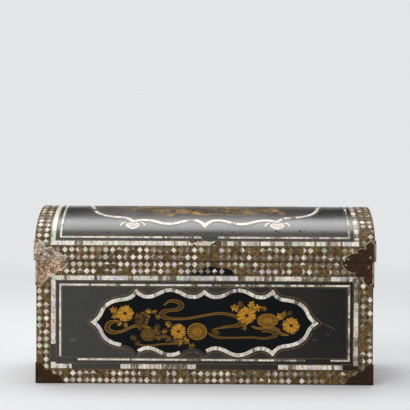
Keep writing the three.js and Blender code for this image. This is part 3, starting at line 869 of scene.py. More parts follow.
def copper_material(name, pale, dark, darkness, spotted=0.0, tinted=True):
    """Thin copper, engraved and punched, toned dark in the low parts and rubbed pale on the high ones,
    with olive spots of old patina."""
    material, w, shader, place = new_material(name, IOR=1.5)
    drift = w.effect("Drift", {"Vector": place})
    patina = w.between(w.plus(drift["Broad"], w.times(drift["Fine"], 0.5)), 0.2, 1.3)
    toned = w.plus(w.times(patina, 0.5), darkness, clamp=True)
    spots = w.between(w.noise(place, 230.0, 3.0, 0.6), 0.45, 0.6)
    main = w.mix(w.times(spots, spotted), w.mix(toned, pale, dark), COPPER_PATINA)
    if tinted:
        main = w.mix(1.0, main, attribute(w, "tint", "Color"), "MULTIPLY")
    cut = w.effect("Engraving", {"Vector": place})
    height = w.plus(cut["Height"], w.times(drift["Fine"], 0.15))
    w.feed(shader.inputs["Base Color"], w.mix(w.times(cut["Dirt"], 0.85), main, COPPER_DIRT))
    w.feed(shader.inputs["Metallic"], w.minus(0.85, w.times(toned, 0.3)))
    w.feed(shader.inputs["Roughness"], w.plus(0.34, w.times(drift["Fine"], 0.16)))
    bumped(w, shader, height, 0.6, 0.00025)
    return material


def make_materials():
    """Every finish of the coffer, kept by its name."""
    colours = bpy.context.scene.coffer_colours
    lacquer, worn = tuple(colours.lacquer), tuple(colours.worn_lacquer)
    # The case's lacquer gets the painted grey sheen towards its left end.
    lacquer_material("Black lacquer", lacquer, worn, bend=1.29, painted_sheen=0.16)
    lacquer_material("Lid lacquer", lacquer, worn, rough=0.26, scratched=0.8, bend=1.56, coat=0.55)
    # The lid's field takes dust at full strength on its up-facing crest: partly dust, partly a painted sheen
    # there.
    lacquer_material(
        "Lid field lacquer", LID_FIELD, worn,
        dusty=1.0, wear=0.0, rough=0.33, scratched=0.6, bend=1.56, coat=0.4,
    )
    lacquer_material("Worn lacquer", worn, tuple(colours.ground), dusty=0.6, wear=0.0, rough=0.5)
    lacquer_material(
        "Field lacquer", tuple(colours.field), worn, dusty=0.1, wear=0.0, rough=0.2, scratched=0.3, bend=1.17
    )
    lacquer_material("Inside lacquer", tuple(colours.inside), worn, dusty=0.5, wear=0.5, rough=0.34)
    shell_material(colours)
    ground_material(colours)
    gold_material("Gold painting", 0.95)
    gold_material("Gold line", 0.8)
    gold_material("Worn gold", 0.55)
    gold_material("Rubbed gold", 0.66, bend=1.55, pale=0.15)
    copper_material("Pale copper", colours.copper_pale, colours.copper_dark, 0.0, spotted=0.8)
    copper_material("Dark copper", colours.copper_dark, COPPER_BLACK, 0.1)
    copper_material("Silvered copper", colours.copper_silver, colours.copper_pale, 0.1, spotted=0.6)
    copper_material("Hinge copper", colours.copper_dark, COPPER_BLACK, 0.0, tinted=False)


def finish(name):
    """A material by its name, which has to be there already."""
    if name not in bpy.data.materials:
        raise RuntimeError(f"the finish {name} isn't made yet")
    return bpy.data.materials[name]


# Lacquered wood

CUTS = (1.5, 4.0, 12.0)  # distances from an arris where the lacquer's mesh is cut
ARRIS = 1.0  # radius of a rounded arris
INNER_CORNER = 1.5  # radius of the case's corners on the inside
INNER_ARRIS = 0.8  # how far the rim's inner arris is eased


def nearness(distance):
    return math.exp(-max(distance, 0.0) / 4.0)


def lacquer_piece(name, rings, finish_name, replaced=(), closed=True):
    """A skin through rings of points, each with its nearness to an arris. Open rings are arches."""
    points = [point for ring in rings for point, _ in ring]
    count = len(rings[0])
    faces = []
    for r in range(len(rings) - 1):
        for i in range(count if closed else count - 1):
            j = (i + 1) % count
            faces.append([r * count + i, r * count + j, (r + 1) * count + j, (r + 1) * count + i])
    last = (len(rings) - 1) * count
    if closed:
        faces += [list(range(count))[::-1], list(range(last, last + count))]
    for base in () if closed else (0, last):
        for i in range(count // 2 - 1):
            faces.append([base + i, base + i + 1, base + count - 2 - i, base + count - 1 - i])
        crown = base + count // 2
        faces.append([crown - 1, crown, crown + 1])
    made = mesh_object(name, points, faces, [finish_name], replaced)
    near = made.data.attributes.new("arris", "FLOAT", "POINT")
    near.data.foreach_set("value", [value for ring in rings for _, value in ring])
    return made


def close_rim(shape):
    """Fills the lid's flat rim between the open edges of its outer and its inner skin."""
    edges = [e for e in shape.edges if e.is_boundary]
    points = list({point: None for edge in edges for point in edge.verts})
    number = {point: i for i, point in enumerate(points)}
    flat = [point.co.xy for point in points]
    pairs = [(number[e.verts[0]], number[e.verts[1]]) for e in edges]
    _, _, triangles, sources, _, _ = delaunay_2d_cdt(flat, pairs, [], 1, 1e-7)
    for triangle in triangles:
        corners = [points[sources[k][0]] for k in triangle]
        middle = sum((corner.co for corner in corners), Vector()) / 3 / MM
        if abs(middle.x) > LID_INSIDE_X or abs(middle.y) > LID_Y - LID_WALL:
            shape.faces.new(corners)


def case_ring(inwards, radius, z, near_edge):
    """A level rectangle with rounded corners, a distance inside the case's faces."""
    half_x, half_y = CASE_X - inwards, CASE_Y - inwards
    ring = []
    for sign_x, sign_y, start in ((1, -1, 270), (1, 1, 0), (-1, 1, 90), (-1, -1, 180)):
        for k in range(5):
            turn = math.radians(start + 90 * k / 4)
            x = sign_x * (half_x - radius) + radius * math.cos(turn)
            y = sign_y * (half_y - radius) + radius * math.sin(turn)
            ring.append((Vector((x, y, z)) * MM, max(1.0, near_edge) if inwards < 1 else near_edge))
        along_y = start in (270, 90) and sign_x * sign_y < 0
        reach = half_y if along_y else half_x
        sign = sign_y if along_y else sign_x
        for cut in (*CUTS, reach, *(2 * reach - c for c in reversed(CUTS))):
            at = -sign * (-reach + cut) if along_y else sign * (reach - cut)
            x, y = (sign_x * half_x, at) if along_y else (at, sign_y * half_y)
            near = max(nearness(min(cut, 2 * reach - cut)), near_edge) if inwards < 1 else near_edge
            ring.append((Vector((x, y, z)) * MM, near))
    return ring


def case_rings():
    """From the middle of the inner floor over the rim and down to the bottom."""
    wall = CASE_X - CASE_INSIDE_X
    skin = -LACQUER
    corner, soft = INNER_CORNER, INNER_ARRIS
    rings = [case_ring(wall + 2, ARRIS, CASE_INSIDE_Z, 0.0), case_ring(wall, corner, CASE_INSIDE_Z + 2, 0.0)]
    for z in (CASE_TOP / 2, CASE_TOP - 12, CASE_TOP - 4):
        rings.append(case_ring(wall, corner, z, nearness(CASE_TOP - z)))
    rings += [case_ring(wall, corner, CASE_TOP - soft, 1.0), case_ring(wall - soft, corner, CASE_TOP, 1.0)]
    rings += [case_ring(skin + 3, ARRIS, CASE_TOP, 0.6), case_ring(skin + ARRIS, ARRIS, CASE_TOP, 1.0)]
    rings.append(case_ring(skin + 0.3 * ARRIS, ARRIS, CASE_TOP - 0.3 * ARRIS, 1.0))
    rings.append(case_ring(skin, ARRIS, CASE_TOP - ARRIS, 1.0))
    rings += [case_ring(skin, ARRIS, CASE_TOP - z, nearness(z)) for z in (*CUTS, 50.0)]
    rings += [case_ring(skin, ARRIS, z, nearness(z)) for z in (50.0, *reversed(CUTS), ARRIS)]
    rings += [case_ring(skin + 0.3, ARRIS, 0.3, 1.0), case_ring(skin + ARRIS, ARRIS, 0.0, 0.8)]
    rings.append(case_ring(skin + 12, ARRIS, 0.0, 0.0))
    return rings


def lid_profile(height):
    """The lid's section at a height over its faces, from the front's bottom edge to the back's."""
    junction_z = dome_point(0, height)[1]
    rail = [(-(LID_Y + height), junction_z * share) for share in (0.0, 0.08, 0.22, 0.6)]
    count = 56
    arch = [dome_point(DOME_LENGTH * k / count, height) for k in range(count + 1)]
    return rail + arch + [(-y, z) for y, z in reversed(rail)]


def lid_ring(x, height, near_edge):
    return [(Vector((x, y, SEAM + z)) * MM, max(near_edge, nearness(z))) for y, z in lid_profile(height)]


def lid_outer_rings():
    end = LID_X + LACQUER
    half = [(end, LACQUER - inwards, nearness(inwards)) for inwards in (48.0, 28.0, *reversed(CUTS), ARRIS)]
    half.append((end - 0.3 * ARRIS, LACQUER - 0.3 * ARRIS, 1.0))
    half.append((end - ARRIS, LACQUER, 1.0))
    half += [(end - cut, LACQUER, nearness(cut)) for cut in (*CUTS, 60.0)]
    both = [(-x, h, n) for x, h, n in half] + [(x, h, n) for x, h, n in reversed(half)]
    return [lid_ring(*each) for each in both]


def lid_inner_rings():
    end = LID_INSIDE_X
    half = [(end, -LID_WALL - 38, 0.0), (end, -LID_WALL - 1, 0.0)]
    half += [(end - 1, -LID_WALL, 0.0), (end - 60, -LID_WALL, 0.0)]
    both = [(-x, h, n) for x, h, n in half] + [(x, h, n) for x, h, n in reversed(half)]
    return [lid_ring(*each) for each in both]


HANDS = (("left", -1), ("right", 1))
LID_ENDS = (("left", on_lid_left), ("right", on_lid_right))
CASE_BOARDS = ("front_board", "back_board", "left_end_board", "right_end_board", "floor_board")
LID_BOARDS = ("front_rail", "back_rail", "left_end_board", "right_end_board")


class COFFER_OT_lacquer(bpy.types.Operator):
    """Makes the lacquered case and lid, which hide the boards' joints"""

    bl_idname = "coffer.lacquer"
    bl_label = "Lacquered wood"

    def execute(self, context):
        boards = [f"case_{name}" for name in CASE_BOARDS]
        case = lacquer_piece("case_lacquer", case_rings(), "Black lacquer", boards)
        close_skin(case)
        darken_inside(case)
        boards = [f"lid_{name}" for name in LID_BOARDS] + [f"lid_stave_{i}" for i in range(1, 8)]
        lid = lacquer_piece("lid_lacquer", lid_outer_rings(), "Lid lacquer", boards, closed=False)
        inside = lacquer_piece("lid_inside", lid_inner_rings(), "Inside lacquer", closed=False)
        lid.data.materials.append(finish("Inside lacquer"))
        join(lid, inside, material=1)
        close_skin(lid, fill=close_rim)
        return {"FINISHED"}


def darken_inside(case):
    """Gives the faces inside the case the inside's finish."""
    case.data.materials.append(finish("Inside lacquer"))
    edge = (CASE_INSIDE_X + 0.5) * MM
    for face in case.data.polygons:
        centre = face.center
        level = CASE_INSIDE_Z * MM - 1e-4 < centre.z < (CASE_TOP - 0.1) * MM
        if level and abs(centre.x) < edge and abs(centre.y) < (CASE_INSIDE_Y + 0.5) * MM:
            face.material_index = 1


# Shell inlay


def shell_tint(chance, dull=0.15, fade=0.55):
    """The colour of one piece of shell: dull, or bright but for its fade."""
    colours = bpy.context.scene.coffer_colours
    if chance.random() < dull:
        light = chance.uniform(0.4, 1.15)
        return tuple(c * light for c in colours.shell_dull)
    tones = [colours.shell_white, colours.shell_rose, colours.shell_green, colours.shell_lilac]
    picked = chance.choices(tones, weights=[6.5, 1.8, 1.7, 1.4])[0]
    light = 1.06 - fade * chance.random() ** 2
    return tuple(min(1.0, c * light) for c in picked)


def dense(path, step=3.0):
    """A path with points added so that none is further than a step from the next."""
    points = []
    for a, b in zip(path, path[1:]):
        parts = max(1, math.ceil(math.dist(a, b) / step))
        points += [tuple(Vector(a).lerp(Vector(b), k / parts)) for k in range(parts)]
    return points + [path[-1]]


def shell_lengths(total, chance, longest):
    """Lengths of the single pieces of a band: some long ones, then a run of thin slices, with gaps."""
    lengths = []
    while sum(lengths) < total:
        if chance.random() < 0.3:
            for _ in range(chance.randint(2, 5)):
                lengths += [chance.uniform(1.6, 4.0), 0.12]
        else:
            lengths += [chance.uniform(0.35, 1.0) * longest, 0.16]
    return lengths


def in_a_box(point, boxes):
    u, v = point
    return any(left < u < right and low < v < high for left, right, low, high in boxes)


def rightwards(point):
    """How far to the right a point is, from -1 at the left end to 1. The shell's tints are darker towards there.
    """
    return point.x / (LID_X * MM)


def shell_band(work, path, width, chance, longest=17.0, lost=(), dull=0.22):
    """Single pieces of shell along a path. None is laid where its middle is in one of the boxes lost."""
    lengths = shell_lengths(path_length(path), chance, longest)
    for k, stretch in enumerate(cut_path(path, lengths)):
        middle = stretch[len(stretch) // 2]
        right = rightwards(work.place(*middle, 0))
        tint = shell_tint(chance, dull * (1 + 0.9 * right), 0.48 + 0.3 * right)
        grain = chance.uniform(-0.35, 0.35)
        if k % 2 or path_length(stretch) < 0.5 or in_a_box(middle, lost):
            continue
        top = SHELL - chance.uniform(0.0, 0.03)
        work.strip(path_sides(stretch, width / 2), top, tint, grain)


def frame_path(half_length, low, high):
    """A rectangle that starts and ends in the middle of its bottom, counter-clockwise."""
    right, left = half_length, -half_length
    return [(0, low), (right, low), (right, high), (left, high), (left, low), (0, low)]


FRONT_OUTLINE = {
    "tip_clearance": 41, "crest_clearance": 6, "middle_drop": 2.3, "dip_drop": 8.6, "dip_reach": 14,
    "cusp_drop": 2.1, "cusp_from_tip": 53, "valley_drop": 11.7, "valley_from_tip": 38, "flank_height": 11,
    "flank_from_tip": 9.5,
}
LID_OUTLINE = {
    "tip_clearance": 28, "crest_clearance": 23, "middle_drop": -3.5, "dip_drop": 9, "dip_reach": 15,
    "cusp_drop": 5, "cusp_from_tip": 60, "valley_drop": 16, "valley_from_tip": 44, "flank_height": 32,
    "flank_from_tip": 8,
}
END_OUTLINE = {
    "tip_clearance": 7, "crest_clearance": 14, "middle_drop": 1.5, "dip_drop": 5.8, "dip_reach": 6,
    "cusp_drop": 1, "cusp_from_tip": 22, "valley_drop": 7.5, "valley_from_tip": 16, "flank_height": 10,
    "flank_from_tip": 5,
}


def outline_quarter(c, half_length, half_height):
    """A quarter of a cusped outline round the origin, from the middle of its top to its right tip."""
    tip = half_length - c["tip_clearance"]
    top = half_height - c["crest_clearance"]
    cusp_x = tip - c["cusp_from_tip"]
    dip_y = top - c["dip_drop"]
    dip = (c["dip_reach"], dip_y)
    crest = (cusp_x / 2, top)
    second_dip = (cusp_x - c["dip_reach"], dip_y)
    cusp = (cusp_x, top - c["cusp_drop"])
    valley = (tip - c["valley_from_tip"], top - c["valley_drop"])
    flank = (tip - c["flank_from_tip"], c["flank_height"])
    shoulder = (flank[0] - c["flank_from_tip"] / 3, (valley[1] + flank[1]) * 0.55)
    rising, falling = (crest[0] - dip[0]) * 0.42, (second_dip[0] - crest[0]) * 0.42
    curves = [
        [(0, top - c["middle_drop"]), (dip[0] * 0.45, dip_y), dip],
        [dip, (dip[0] + rising, dip_y), (crest[0] - rising, top), crest],
        [crest, (crest[0] + falling, top), (second_dip[0] - falling, dip_y), second_dip],
        [second_dip, ((second_dip[0] + cusp_x) / 2, dip_y), cusp],
        [cusp, ((2 * cusp_x + valley[0]) / 3, valley[1] + 1), valley],
        [valley, ((valley[0] + flank[0]) / 2, valley[1] - 1), shoulder, flank],
        [flank, (flank[0] + c["flank_from_tip"] / 3, flank[1] * 0.4), (tip, 0)],
    ]
    return [p for controls in curves for p in curve_points(controls)] + [(tip, 0)]


START_OF_OUTLINE = 12  # the point of a whole outline, past its tip, where its first shell begins


def whole_outline(quarter, middle_v):
    """The closed outline from its quarter, counter-clockwise from its right tip."""
    top_right = quarter[::-1]
    top_left = [(-u, v) for u, v in quarter[1:]]
    bottom_left = [(-u, -v) for u, v in quarter[-2::-1]]
    bottom_right = [(u, -v) for u, v in quarter[1:-1]]
    return [(u, v + middle_v) for u, v in top_right + top_left + bottom_left + bottom_right]


def panels():
    """The panels that carry an outline: each one's place, its half length and half height inside the thin
    line, the height of its middle, the outline's sizes and the width of its shell."""
    sizes = bpy.context.scene.coffer_sizes
    wide, narrow = sizes.cartouche_width, sizes.end_cartouche_width
    middle, crown = CASE_TOP / 2, DOME_LENGTH / 2
    half_height = middle - LINE_INSET
    end = (CASE_Y - LINE_INSET, half_height, middle, END_OUTLINE, narrow)
    return {
        "front": (on_case_front, CASE_X - LINE_INSET, half_height, middle, FRONT_OUTLINE, wide),
        "left_end": (on_case_left, *end),
        "right_end": (on_case_right, *end),
        "lid": (on_dome, LID_X - LID_LINE_END_INSET, crown - LID_LINE_RISE, crown, LID_OUTLINE, wide),
    }


# Where shell has fallen out: boxes on the face, as left, right, low and high.
LOST = {
    "front": {
        "band": ((-163.6, -102, 10, 26), (-13, 94.3, 10, 26), (172, 187.5, 10, 26), (-192, -186, 23, 48)),
        "line": ((-184, -152, 20, 34.5), (126, 153, 20, 34)),
        "outline": ((-104.4, -82.2, 20, 50), (-30.4, 0.5, 20, 50)),
    },
    "lid": {"band": ((10, 22, -2, 10),), "line": ((-2, 16, 5, 18),), "outline": ()},
    "left_end": {"band": ((-40, -12, 10, 26),), "line": (), "outline": ()},
    "right_end": {"band": ((22, 46, 10, 26),), "line": (), "outline": ()},
}


def frame_paths(name):
    """The paths of a panel's outer band and inner line."""
    if name == "lid":
        insets = ((LID_BAND_END_INSET, LID_BAND_RISE), (LID_LINE_END_INSET, LID_LINE_RISE))
        return [dense(frame_path(LID_X - inset, rise, DOME_LENGTH - rise)) for inset, rise in insets]
    half = CASE_X if name == "front" else CASE_Y
    return [dense(frame_path(half - inset, inset, CASE_TOP - inset)) for inset in (BAND_INSET, LINE_INSET)]


class COFFER_OT_shell_frames(bpy.types.Operator):
    """Lays the shell bands, lines and cusped outlines, piece by piece"""

    bl_idname = "coffer.shell_frames"
    bl_label = "Shell frames and outlines"

    def execute(self, context):
        sizes = context.scene.coffer_sizes
        for name, (place, half_length, half_height, middle, outline, width) in panels().items():
            chance = random.Random(f"{name} frames")
            lost = LOST[name]
            band_path, line_path = frame_paths(name)
            path = whole_outline(outline_quarter(outline, half_length, half_height), middle)
            path = path[START_OF_OUTLINE:] + path[: START_OF_OUTLINE + 1]
            for part, node, way, wide, longest, dull in (
                ("band", "pearl_band", band_path, sizes.band_width, 13.0, 0.22),
                ("line", "pearl_line", line_path, sizes.line_width, 13.0, 0.32),
                ("outline", "cartouche", path, width, 12.0, 0.08),
            ):
                work = Work(place)
                shell_band(work, way, wide, chance, longest, lost[part], dull)
                work.piece(f"{name}_shell_{part}", "Pearl shell", replaced=[f"{name}_{node}"])
        for side, place in LID_ENDS:
            arch = Work(place)
            shell_band(arch, lid_end_path(), sizes.band_width, random.Random(f"{side} arch"))
            arch.piece(f"lid_{side}_end_shell_band", "Pearl shell", replaced=[f"lid_{side}_end_band"])
        return {"FINISHED"}


def lid_end_path():
    """The dome's profile moved in, closed by a level line, from the middle of that line."""
    count = 56
    arch = [dome_point(DOME_LENGTH * k / count, -BAND_INSET) for k in range(count + 1)]
    arch = [(-y, z) for y, z in arch if z > BAND_INSET]
    low = arch[0][1]
    return dense([(0, low), *arch, (0, low)])


# Lozenges and the ground between them


# The mounts' widths in front and at the side, and their heights
LID_MOUNT = {"front": 39.0, "side": 32.0, "height": 26.5}
UPPER_MOUNT = {"front": 40.0, "side": 34.0, "height": 32.0}
LOWER_MOUNT = {"front": 34.0, "side": 30.0, "height": 25.0}


def mounts_on(face):
    """The corner mounts on a face: their width and height, and whether they hang from its top."""
    kinds = [(LID_MOUNT, False)] if face.startswith("lid") else [(UPPER_MOUNT, True), (LOWER_MOUNT, False)]
    way = "side" if face.endswith("end") else "front"
    return [(mount[way], mount["height"], hangs) for mount, hangs in kinds]


def under_mount(face, from_corner, v, height):
    """Whether a lozenge lies wholly under a mount."""
    for width, rise, hangs in mounts_on(face):
        up = height - v if hangs else v
        if from_corner < width - 3 and up + 4 < leaf_height(width, rise, from_corner + 3):
            return True
    return False


def leaf_height(width, rise, from_corner):
    """How high a mount's leaf reaches at a distance from the corner: three lobes with cusps between."""
    outline = leaf_outline(width, rise)
    for (u0, v0), (u1, v1) in zip(outline, outline[1:]):
        if u1 <= from_corner <= u0:
            return v0 + (v1 - v0) * (u0 - from_corner) / max(u0 - u1, 1e-6)
    return 0.0


def leaf_outline(width, rise):
    """The open side of a leaf, from its far foot to its top at the corner."""
    knots = [(width, 0), (width * 0.66, rise * 0.42), (width * 0.36, rise * 0.6), (0, rise)]
    bulges = [(width * 0.93, rise * 0.38), (width * 0.52, rise * 0.72), (width * 0.3, rise * 0.98)]
    points = []
    for start, bulge, end in zip(knots, bulges, knots[1:]):
        points += curve_points([start, bulge, end])
    return points + [knots[-1]]


def lozenge(work, u, v, pitch_u, pitch_v, chance, dull):
    """One lozenge: whole, in two halves, chipped, or lost."""
    state = chance.random()
    if state < 0.05 + 0.12 * dull:
        return
    fill = bpy.context.scene.coffer_sizes.lozenge_fill
    u, v = u + chance.uniform(-0.2, 0.2), v + chance.uniform(-0.2, 0.2)
    reach_u, reach_v = (pitch / 2 * fill * chance.uniform(0.92, 1.02) for pitch in (pitch_u, pitch_v))
    right, top, left, bottom = (u + reach_u, v), (u, v + reach_v), (u - reach_u, v), (u, v - reach_v)
    grain, share = chance.uniform(0, math.pi), 0.1 + 0.62 * dull
    height = SHELL - chance.uniform(0.0, 0.04)
    tint = shell_tint(chance, share)
    if state > 0.66:
        other = shell_tint(chance, share + 0.3)
        if chance.random() < 0.5:
            halves = ([right, top, bottom], [left, bottom, top])
        else:
            halves = ([right, top, left], [left, bottom, right])
        work.plate(halves[0], height, tint, grain)
        if chance.random() < 0.8:
            work.plate(halves[1], height, other, grain + 1.3)
        return
    work.plate([right, top, left, bottom], height, tint, grain)


def dullness(point, seed):
    """How dull the shell is round a place, from 0 to 1, in broad patches."""
    patches = 1.1 * noise.noise(point * 22 + Vector((seed, 0, 0)))
    return min(1.0, max(0.0, 0.46 + patches + 0.6 * rightwards(point)))


def lozenge_cells(half_length, height, rows=None):
    """Middles of the lozenges in two rows along top and bottom and, between them, two columns a side."""
    pitch = bpy.context.scene.coffer_sizes.lozenge_pitch
    columns = round(2 * half_length / pitch)
    rows = rows or round(height / pitch)
    pitch_u, pitch_v = 2 * half_length / columns, height / rows
    cells = []
    for i in range(columns):
        for j in range(rows):
            if min(i, columns - 1 - i, j, rows - 1 - j) < 2:
                cells.append((-half_length + (i + 0.5) * pitch_u, (j + 0.5) * pitch_v))
    return cells, pitch_u, pitch_v


def grid_map(half_length, pitch_u, pitch_v):
    return lambda u, v, angle: ((u + half_length) / pitch_u, v / pitch_v)


GROUND_EDGE = 0.9  # the ground stops this far from an arris
GROUND_WIDTH = 16.9
GROUND_INSET = GROUND_EDGE + GROUND_WIDTH / 2
DOME_COLUMN_PITCH = 8.7
DOME_COLUMNS_INSET = 9.6  # from the lid's end to the middle between its two columns
LID_END_PITCH = 8.4
LID_END_LOZENGE = 8.2  # a lozenge's length and height there, with the gap round it


def in_view(face, cells, corner, height):
    """The cells of a border that no mount hides."""
    return [(u, v) for u, v in cells if not under_mount(face, corner - abs(u), v, height)]


def lozenge_piece(name, place, cells, pitches, chance, seed, extra_dull=0.0):
    work = Work(place)
    for u, v in cells:
        dull = min(1.0, extra_dull + dullness(place(u, v, 0), seed))
        lozenge(work, u, v, *pitches, chance, dull)
    work.piece(f"{name}_lozenges", "Pearl shell")


def ground_piece(name, place, left, pitches, path, half_width, closed=False):
    """A border's ground, mapped so that its pattern falls between the lozenges."""
    work = Work(place, grid_map(left, *pitches))
    work.strip(path_sides(path, half_width, closed), GROUND, WHITE, closed=closed)
    work.piece(f"{name}_ground", "Gold ground")


def case_border(face, place, half_length, seed):
    """The lozenges and the ground of a case face's border."""
    name = f"case_{face}"
    cells, *pitches = lozenge_cells(half_length, CASE_TOP)
    cells = in_view(face, cells, half_length, CASE_TOP)
    lozenge_piece(name, place, cells, pitches, random.Random(f"{name} lozenges"), seed)
    path = frame_path(half_length - GROUND_INSET, GROUND_INSET, CASE_TOP - GROUND_INSET)[1:-1]
    ground_piece(name, place, half_length, pitches, path, GROUND_WIDTH / 2, closed=True)


def lid_rail_border(name, place):
    """Two rows of lozenges along a rail of the lid."""
    cells, pitch_u, pitch_v = lozenge_cells(LID_X, RAIL_TOP - 0.6, rows=2)
    cells = in_view("lid_front", cells, LID_X, RAIL_TOP)
    lozenge_piece(name, place, cells, (pitch_u, LID_END_PITCH), random.Random(f"{name} lozenges"), 3.0)
    middle, reach = RAIL_TOP / 2, LID_X - GROUND_EDGE
    path = [(-reach, middle), (reach, middle)]
    ground_piece(name, place, LID_X, (pitch_u, pitch_v), path, middle - 0.7)


def dome_border(hand, side):
    """Two columns of lozenges over the dome at one end of the lid."""
    name, middle = f"lid_{hand}_dome", side * (LID_X - DOME_COLUMNS_INSET)
    rows = round(DOME_LENGTH / DOME_COLUMN_PITCH)
    pitches = (DOME_COLUMN_PITCH, DOME_LENGTH / rows)
    cells = []
    for j in range(rows):
        v = (j + 0.5) * pitches[1]
        up = RAIL_TOP + min(v, DOME_LENGTH - v)
        for u in (middle - DOME_COLUMN_PITCH / 2, middle + DOME_COLUMN_PITCH / 2):
            if not under_mount("lid_front", LID_X - abs(u), up, LID_TOP):
                cells.append((u, v))
    lozenge_piece(name, on_dome, cells, pitches, random.Random(f"dome {hand}"), 5.0, extra_dull=0.3)
    path = dense([(middle, 0.2), (middle, DOME_LENGTH - 0.2)], 2.5)
    ground_piece(name, on_dome, -middle, pitches, path, DOME_COLUMN_PITCH - 0.2)


def lid_end_border(hand, place, chance):
    """Lozenges round an arched end of the lid, two rows deep, on their ground."""
    name, cells = f"lid_{hand}_end", []
    for depth in (0.5, 1.5):
        path = arch_border(0.4 + depth * LID_END_PITCH)
        cells += even_points(path, round(path_length(path) / LID_END_PITCH))
    cells = in_view("lid_end", cells, LID_Y, LID_TOP)
    lozenge_piece(name, place, cells, (LID_END_LOZENGE, LID_END_LOZENGE), chance, 7.0)
    path = arch_border(GROUND_INSET)[:-1]
    ground_piece(name, place, LID_Y, (LID_END_PITCH, LID_END_PITCH), path, GROUND_WIDTH / 2, closed=True)


def arch_border(inset):
    """The outline of a lid end moved in: from the middle of the bottom, counter-clockwise."""
    count = 40
    arch = [dome_point(DOME_LENGTH * k / count, -inset) for k in range(count + 1)]
    rail = [(LID_Y - inset, inset), (LID_Y - inset, arch[0][1] - 1.0)]
    left = [(-u, v) for u, v in reversed(rail)]
    return dense([(0, inset), *rail, *[(-y, z) for y, z in arch], *left, (0, inset)])


def even_points(path, count):
    """Points set evenly along a closed path."""
    total = path_length(path)
    steps = cut_path(path, [total / count / 2] + [total / count] * count)
    return [stretch[-1] for stretch in steps[:count]]


class COFFER_OT_lozenges(bpy.types.Operator):
    """Lays the borders of shell lozenges on their gold-dusted ground"""

    bl_idname = "coffer.lozenges"
    bl_label = "Lozenge borders"

    def execute(self, context):
        case_border("front", on_case_front, CASE_X, 0.0)
        case_border("left_end", on_case_left, CASE_Y, 1.0)
        case_border("right_end", on_case_right, CASE_Y, 2.0)
        lid_rail_border("lid_front", on_lid_front)
        lid_rail_border("lid_back", on_lid_back)
        chance = random.Random("lid ends")
        for hand, side in HANDS:
            dome_border(hand, side)
        for hand, place in LID_ENDS:
            lid_end_border(hand, place, chance)
        return {"FINISHED"}


# Painted gold lines and the darker fields


def painted_line(work, path, half_width, tint, height=0.0, closed=True):
    sides = path_sides(path, half_width, closed)
    work.strip(sides, PAINT + height, tint, 0.0, 0.05, PAINT_BED, closed)


LINE_OFFSETS = (-3.9, 3.6)  # thin lines each side of an outer band, from its middle
INNER_LINE_OFFSET = 2.3  # a thin line inside the inner shell line, from its middle
OUTLINE_OFFSET = -4.8  # the gold line round a cusped outline, from the outline's middle


class COFFER_OT_gold_lines(bpy.types.Operator):
    """Paints the thin gold lines that run beside the shell, and the dark fields inside the outlines"""

    bl_idname = "coffer.gold_lines"
    bl_label = "Gold lines and fields"

    def execute(self, context):
        sizes, colours = context.scene.coffer_sizes, context.scene.coffer_colours
        tint, half_width = tuple(colours.gold_line), sizes.gold_line_width / 2
        for name, (place, half_length, half_height, middle, outline, _) in panels().items():
            lines = Work(place)
            band_path, line_path = (path[:-1] for path in frame_paths(name))
            for offset in LINE_OFFSETS:
                painted_line(lines, moved_in(band_path, offset), half_width, tint)
            painted_line(lines, moved_in(line_path, INNER_LINE_OFFSET), half_width, tint)
            quarter = outline_quarter(outline, half_length, half_height)
            path = whole_outline(quarter, middle)
            brighter = tuple(c * 1.1 for c in tint)
            painted_line(lines, moved_in(path, OUTLINE_OFFSET), half_width * 1.2, brighter)
            lines.piece(f"{name}_gold_lines", "Gold line")
            make_field(name, place, quarter, middle)
        for side, place in LID_ENDS:
            lines = Work(place)
            for offset in LINE_OFFSETS:
                painted_line(lines, moved_in(lid_end_path()[:-1], offset), half_width, tint)
            lines.piece(f"lid_{side}_end_gold_lines", "Gold line")
        back = Work(on_case_back)
        for inset in (9.0, 11.0):
            painted_line(back, frame_path(CASE_X - inset, inset, CASE_TOP - inset)[:-1], half_width, tint)
        back.piece("case_back_gold_lines", "Gold line")
        return {"FINISHED"}


def make_field(name, place, quarter, middle):
    """A thin field of darker lacquer that fills a cusped outline as far as the middle of its shell."""
    columns = [(-u, v) for u, v in quarter[:0:-1]] + quarter
    rows = 56 if name == "lid" else 2
    work = Work(place)
    shares = [1 - 2 * k / rows for k in range(rows + 1)]
    for (u0, v0), (u1, v1) in zip(columns, columns[1:]):
        v0, v1 = max(v0, 0.02), max(v1, 0.02)
        sides = [((u0, middle + v0 * share), (u1, middle + v1 * share)) for share in shares]
        work.skin(sides, LACQUER + 0.05)
    field = work.piece(f"{name}_field", "Lid field lacquer" if name == "lid" else "Field lacquer")
    close_field(field, place, middle)


def close_field(field, place, middle):
    """Joins the field's columns and gives the field its thickness."""
    centre = place(0, middle, 0)
    outwards = place(0, middle, 1) - centre

    def edit(shape):
        bmesh.ops.remove_doubles(shape, verts=shape.verts, dist=2e-6)
        bmesh.ops.recalc_face_normals(shape, faces=shape.faces)
        nearest = min(shape.faces, key=lambda f: (f.calc_center_median() - centre).length)
        if nearest.normal.dot(outwards) < 0:
            bmesh.ops.reverse_faces(shape, faces=shape.faces)
        bmesh.ops.solidify(shape, geom=shape.faces[:], thickness=FIELD_THICKNESS * MM)

    edit_mesh(field, edit, sharp=35)


# Gold painting


def oval(u, v, radius, squash=1.0, sides=30):
    return [(x, v + squash * (y - v)) for x, y in circle(u, v, radius, sides)]


def mixed(first, second, share):
    return tuple(a + (b - a) * min(1.0, max(0.0, share)) for a, b in zip(first, second))


def gold_tint(worn):
    """A tone of gold from bright, at 0, to rubbed, at 1, and on to almost bare at 2."""
    colours = bpy.context.scene.coffer_colours
    bare = tuple(c * 0.3 for c in colours.gold_worn)
    return mixed(mixed(colours.gold, colours.gold_worn, worn), bare, worn - 1)


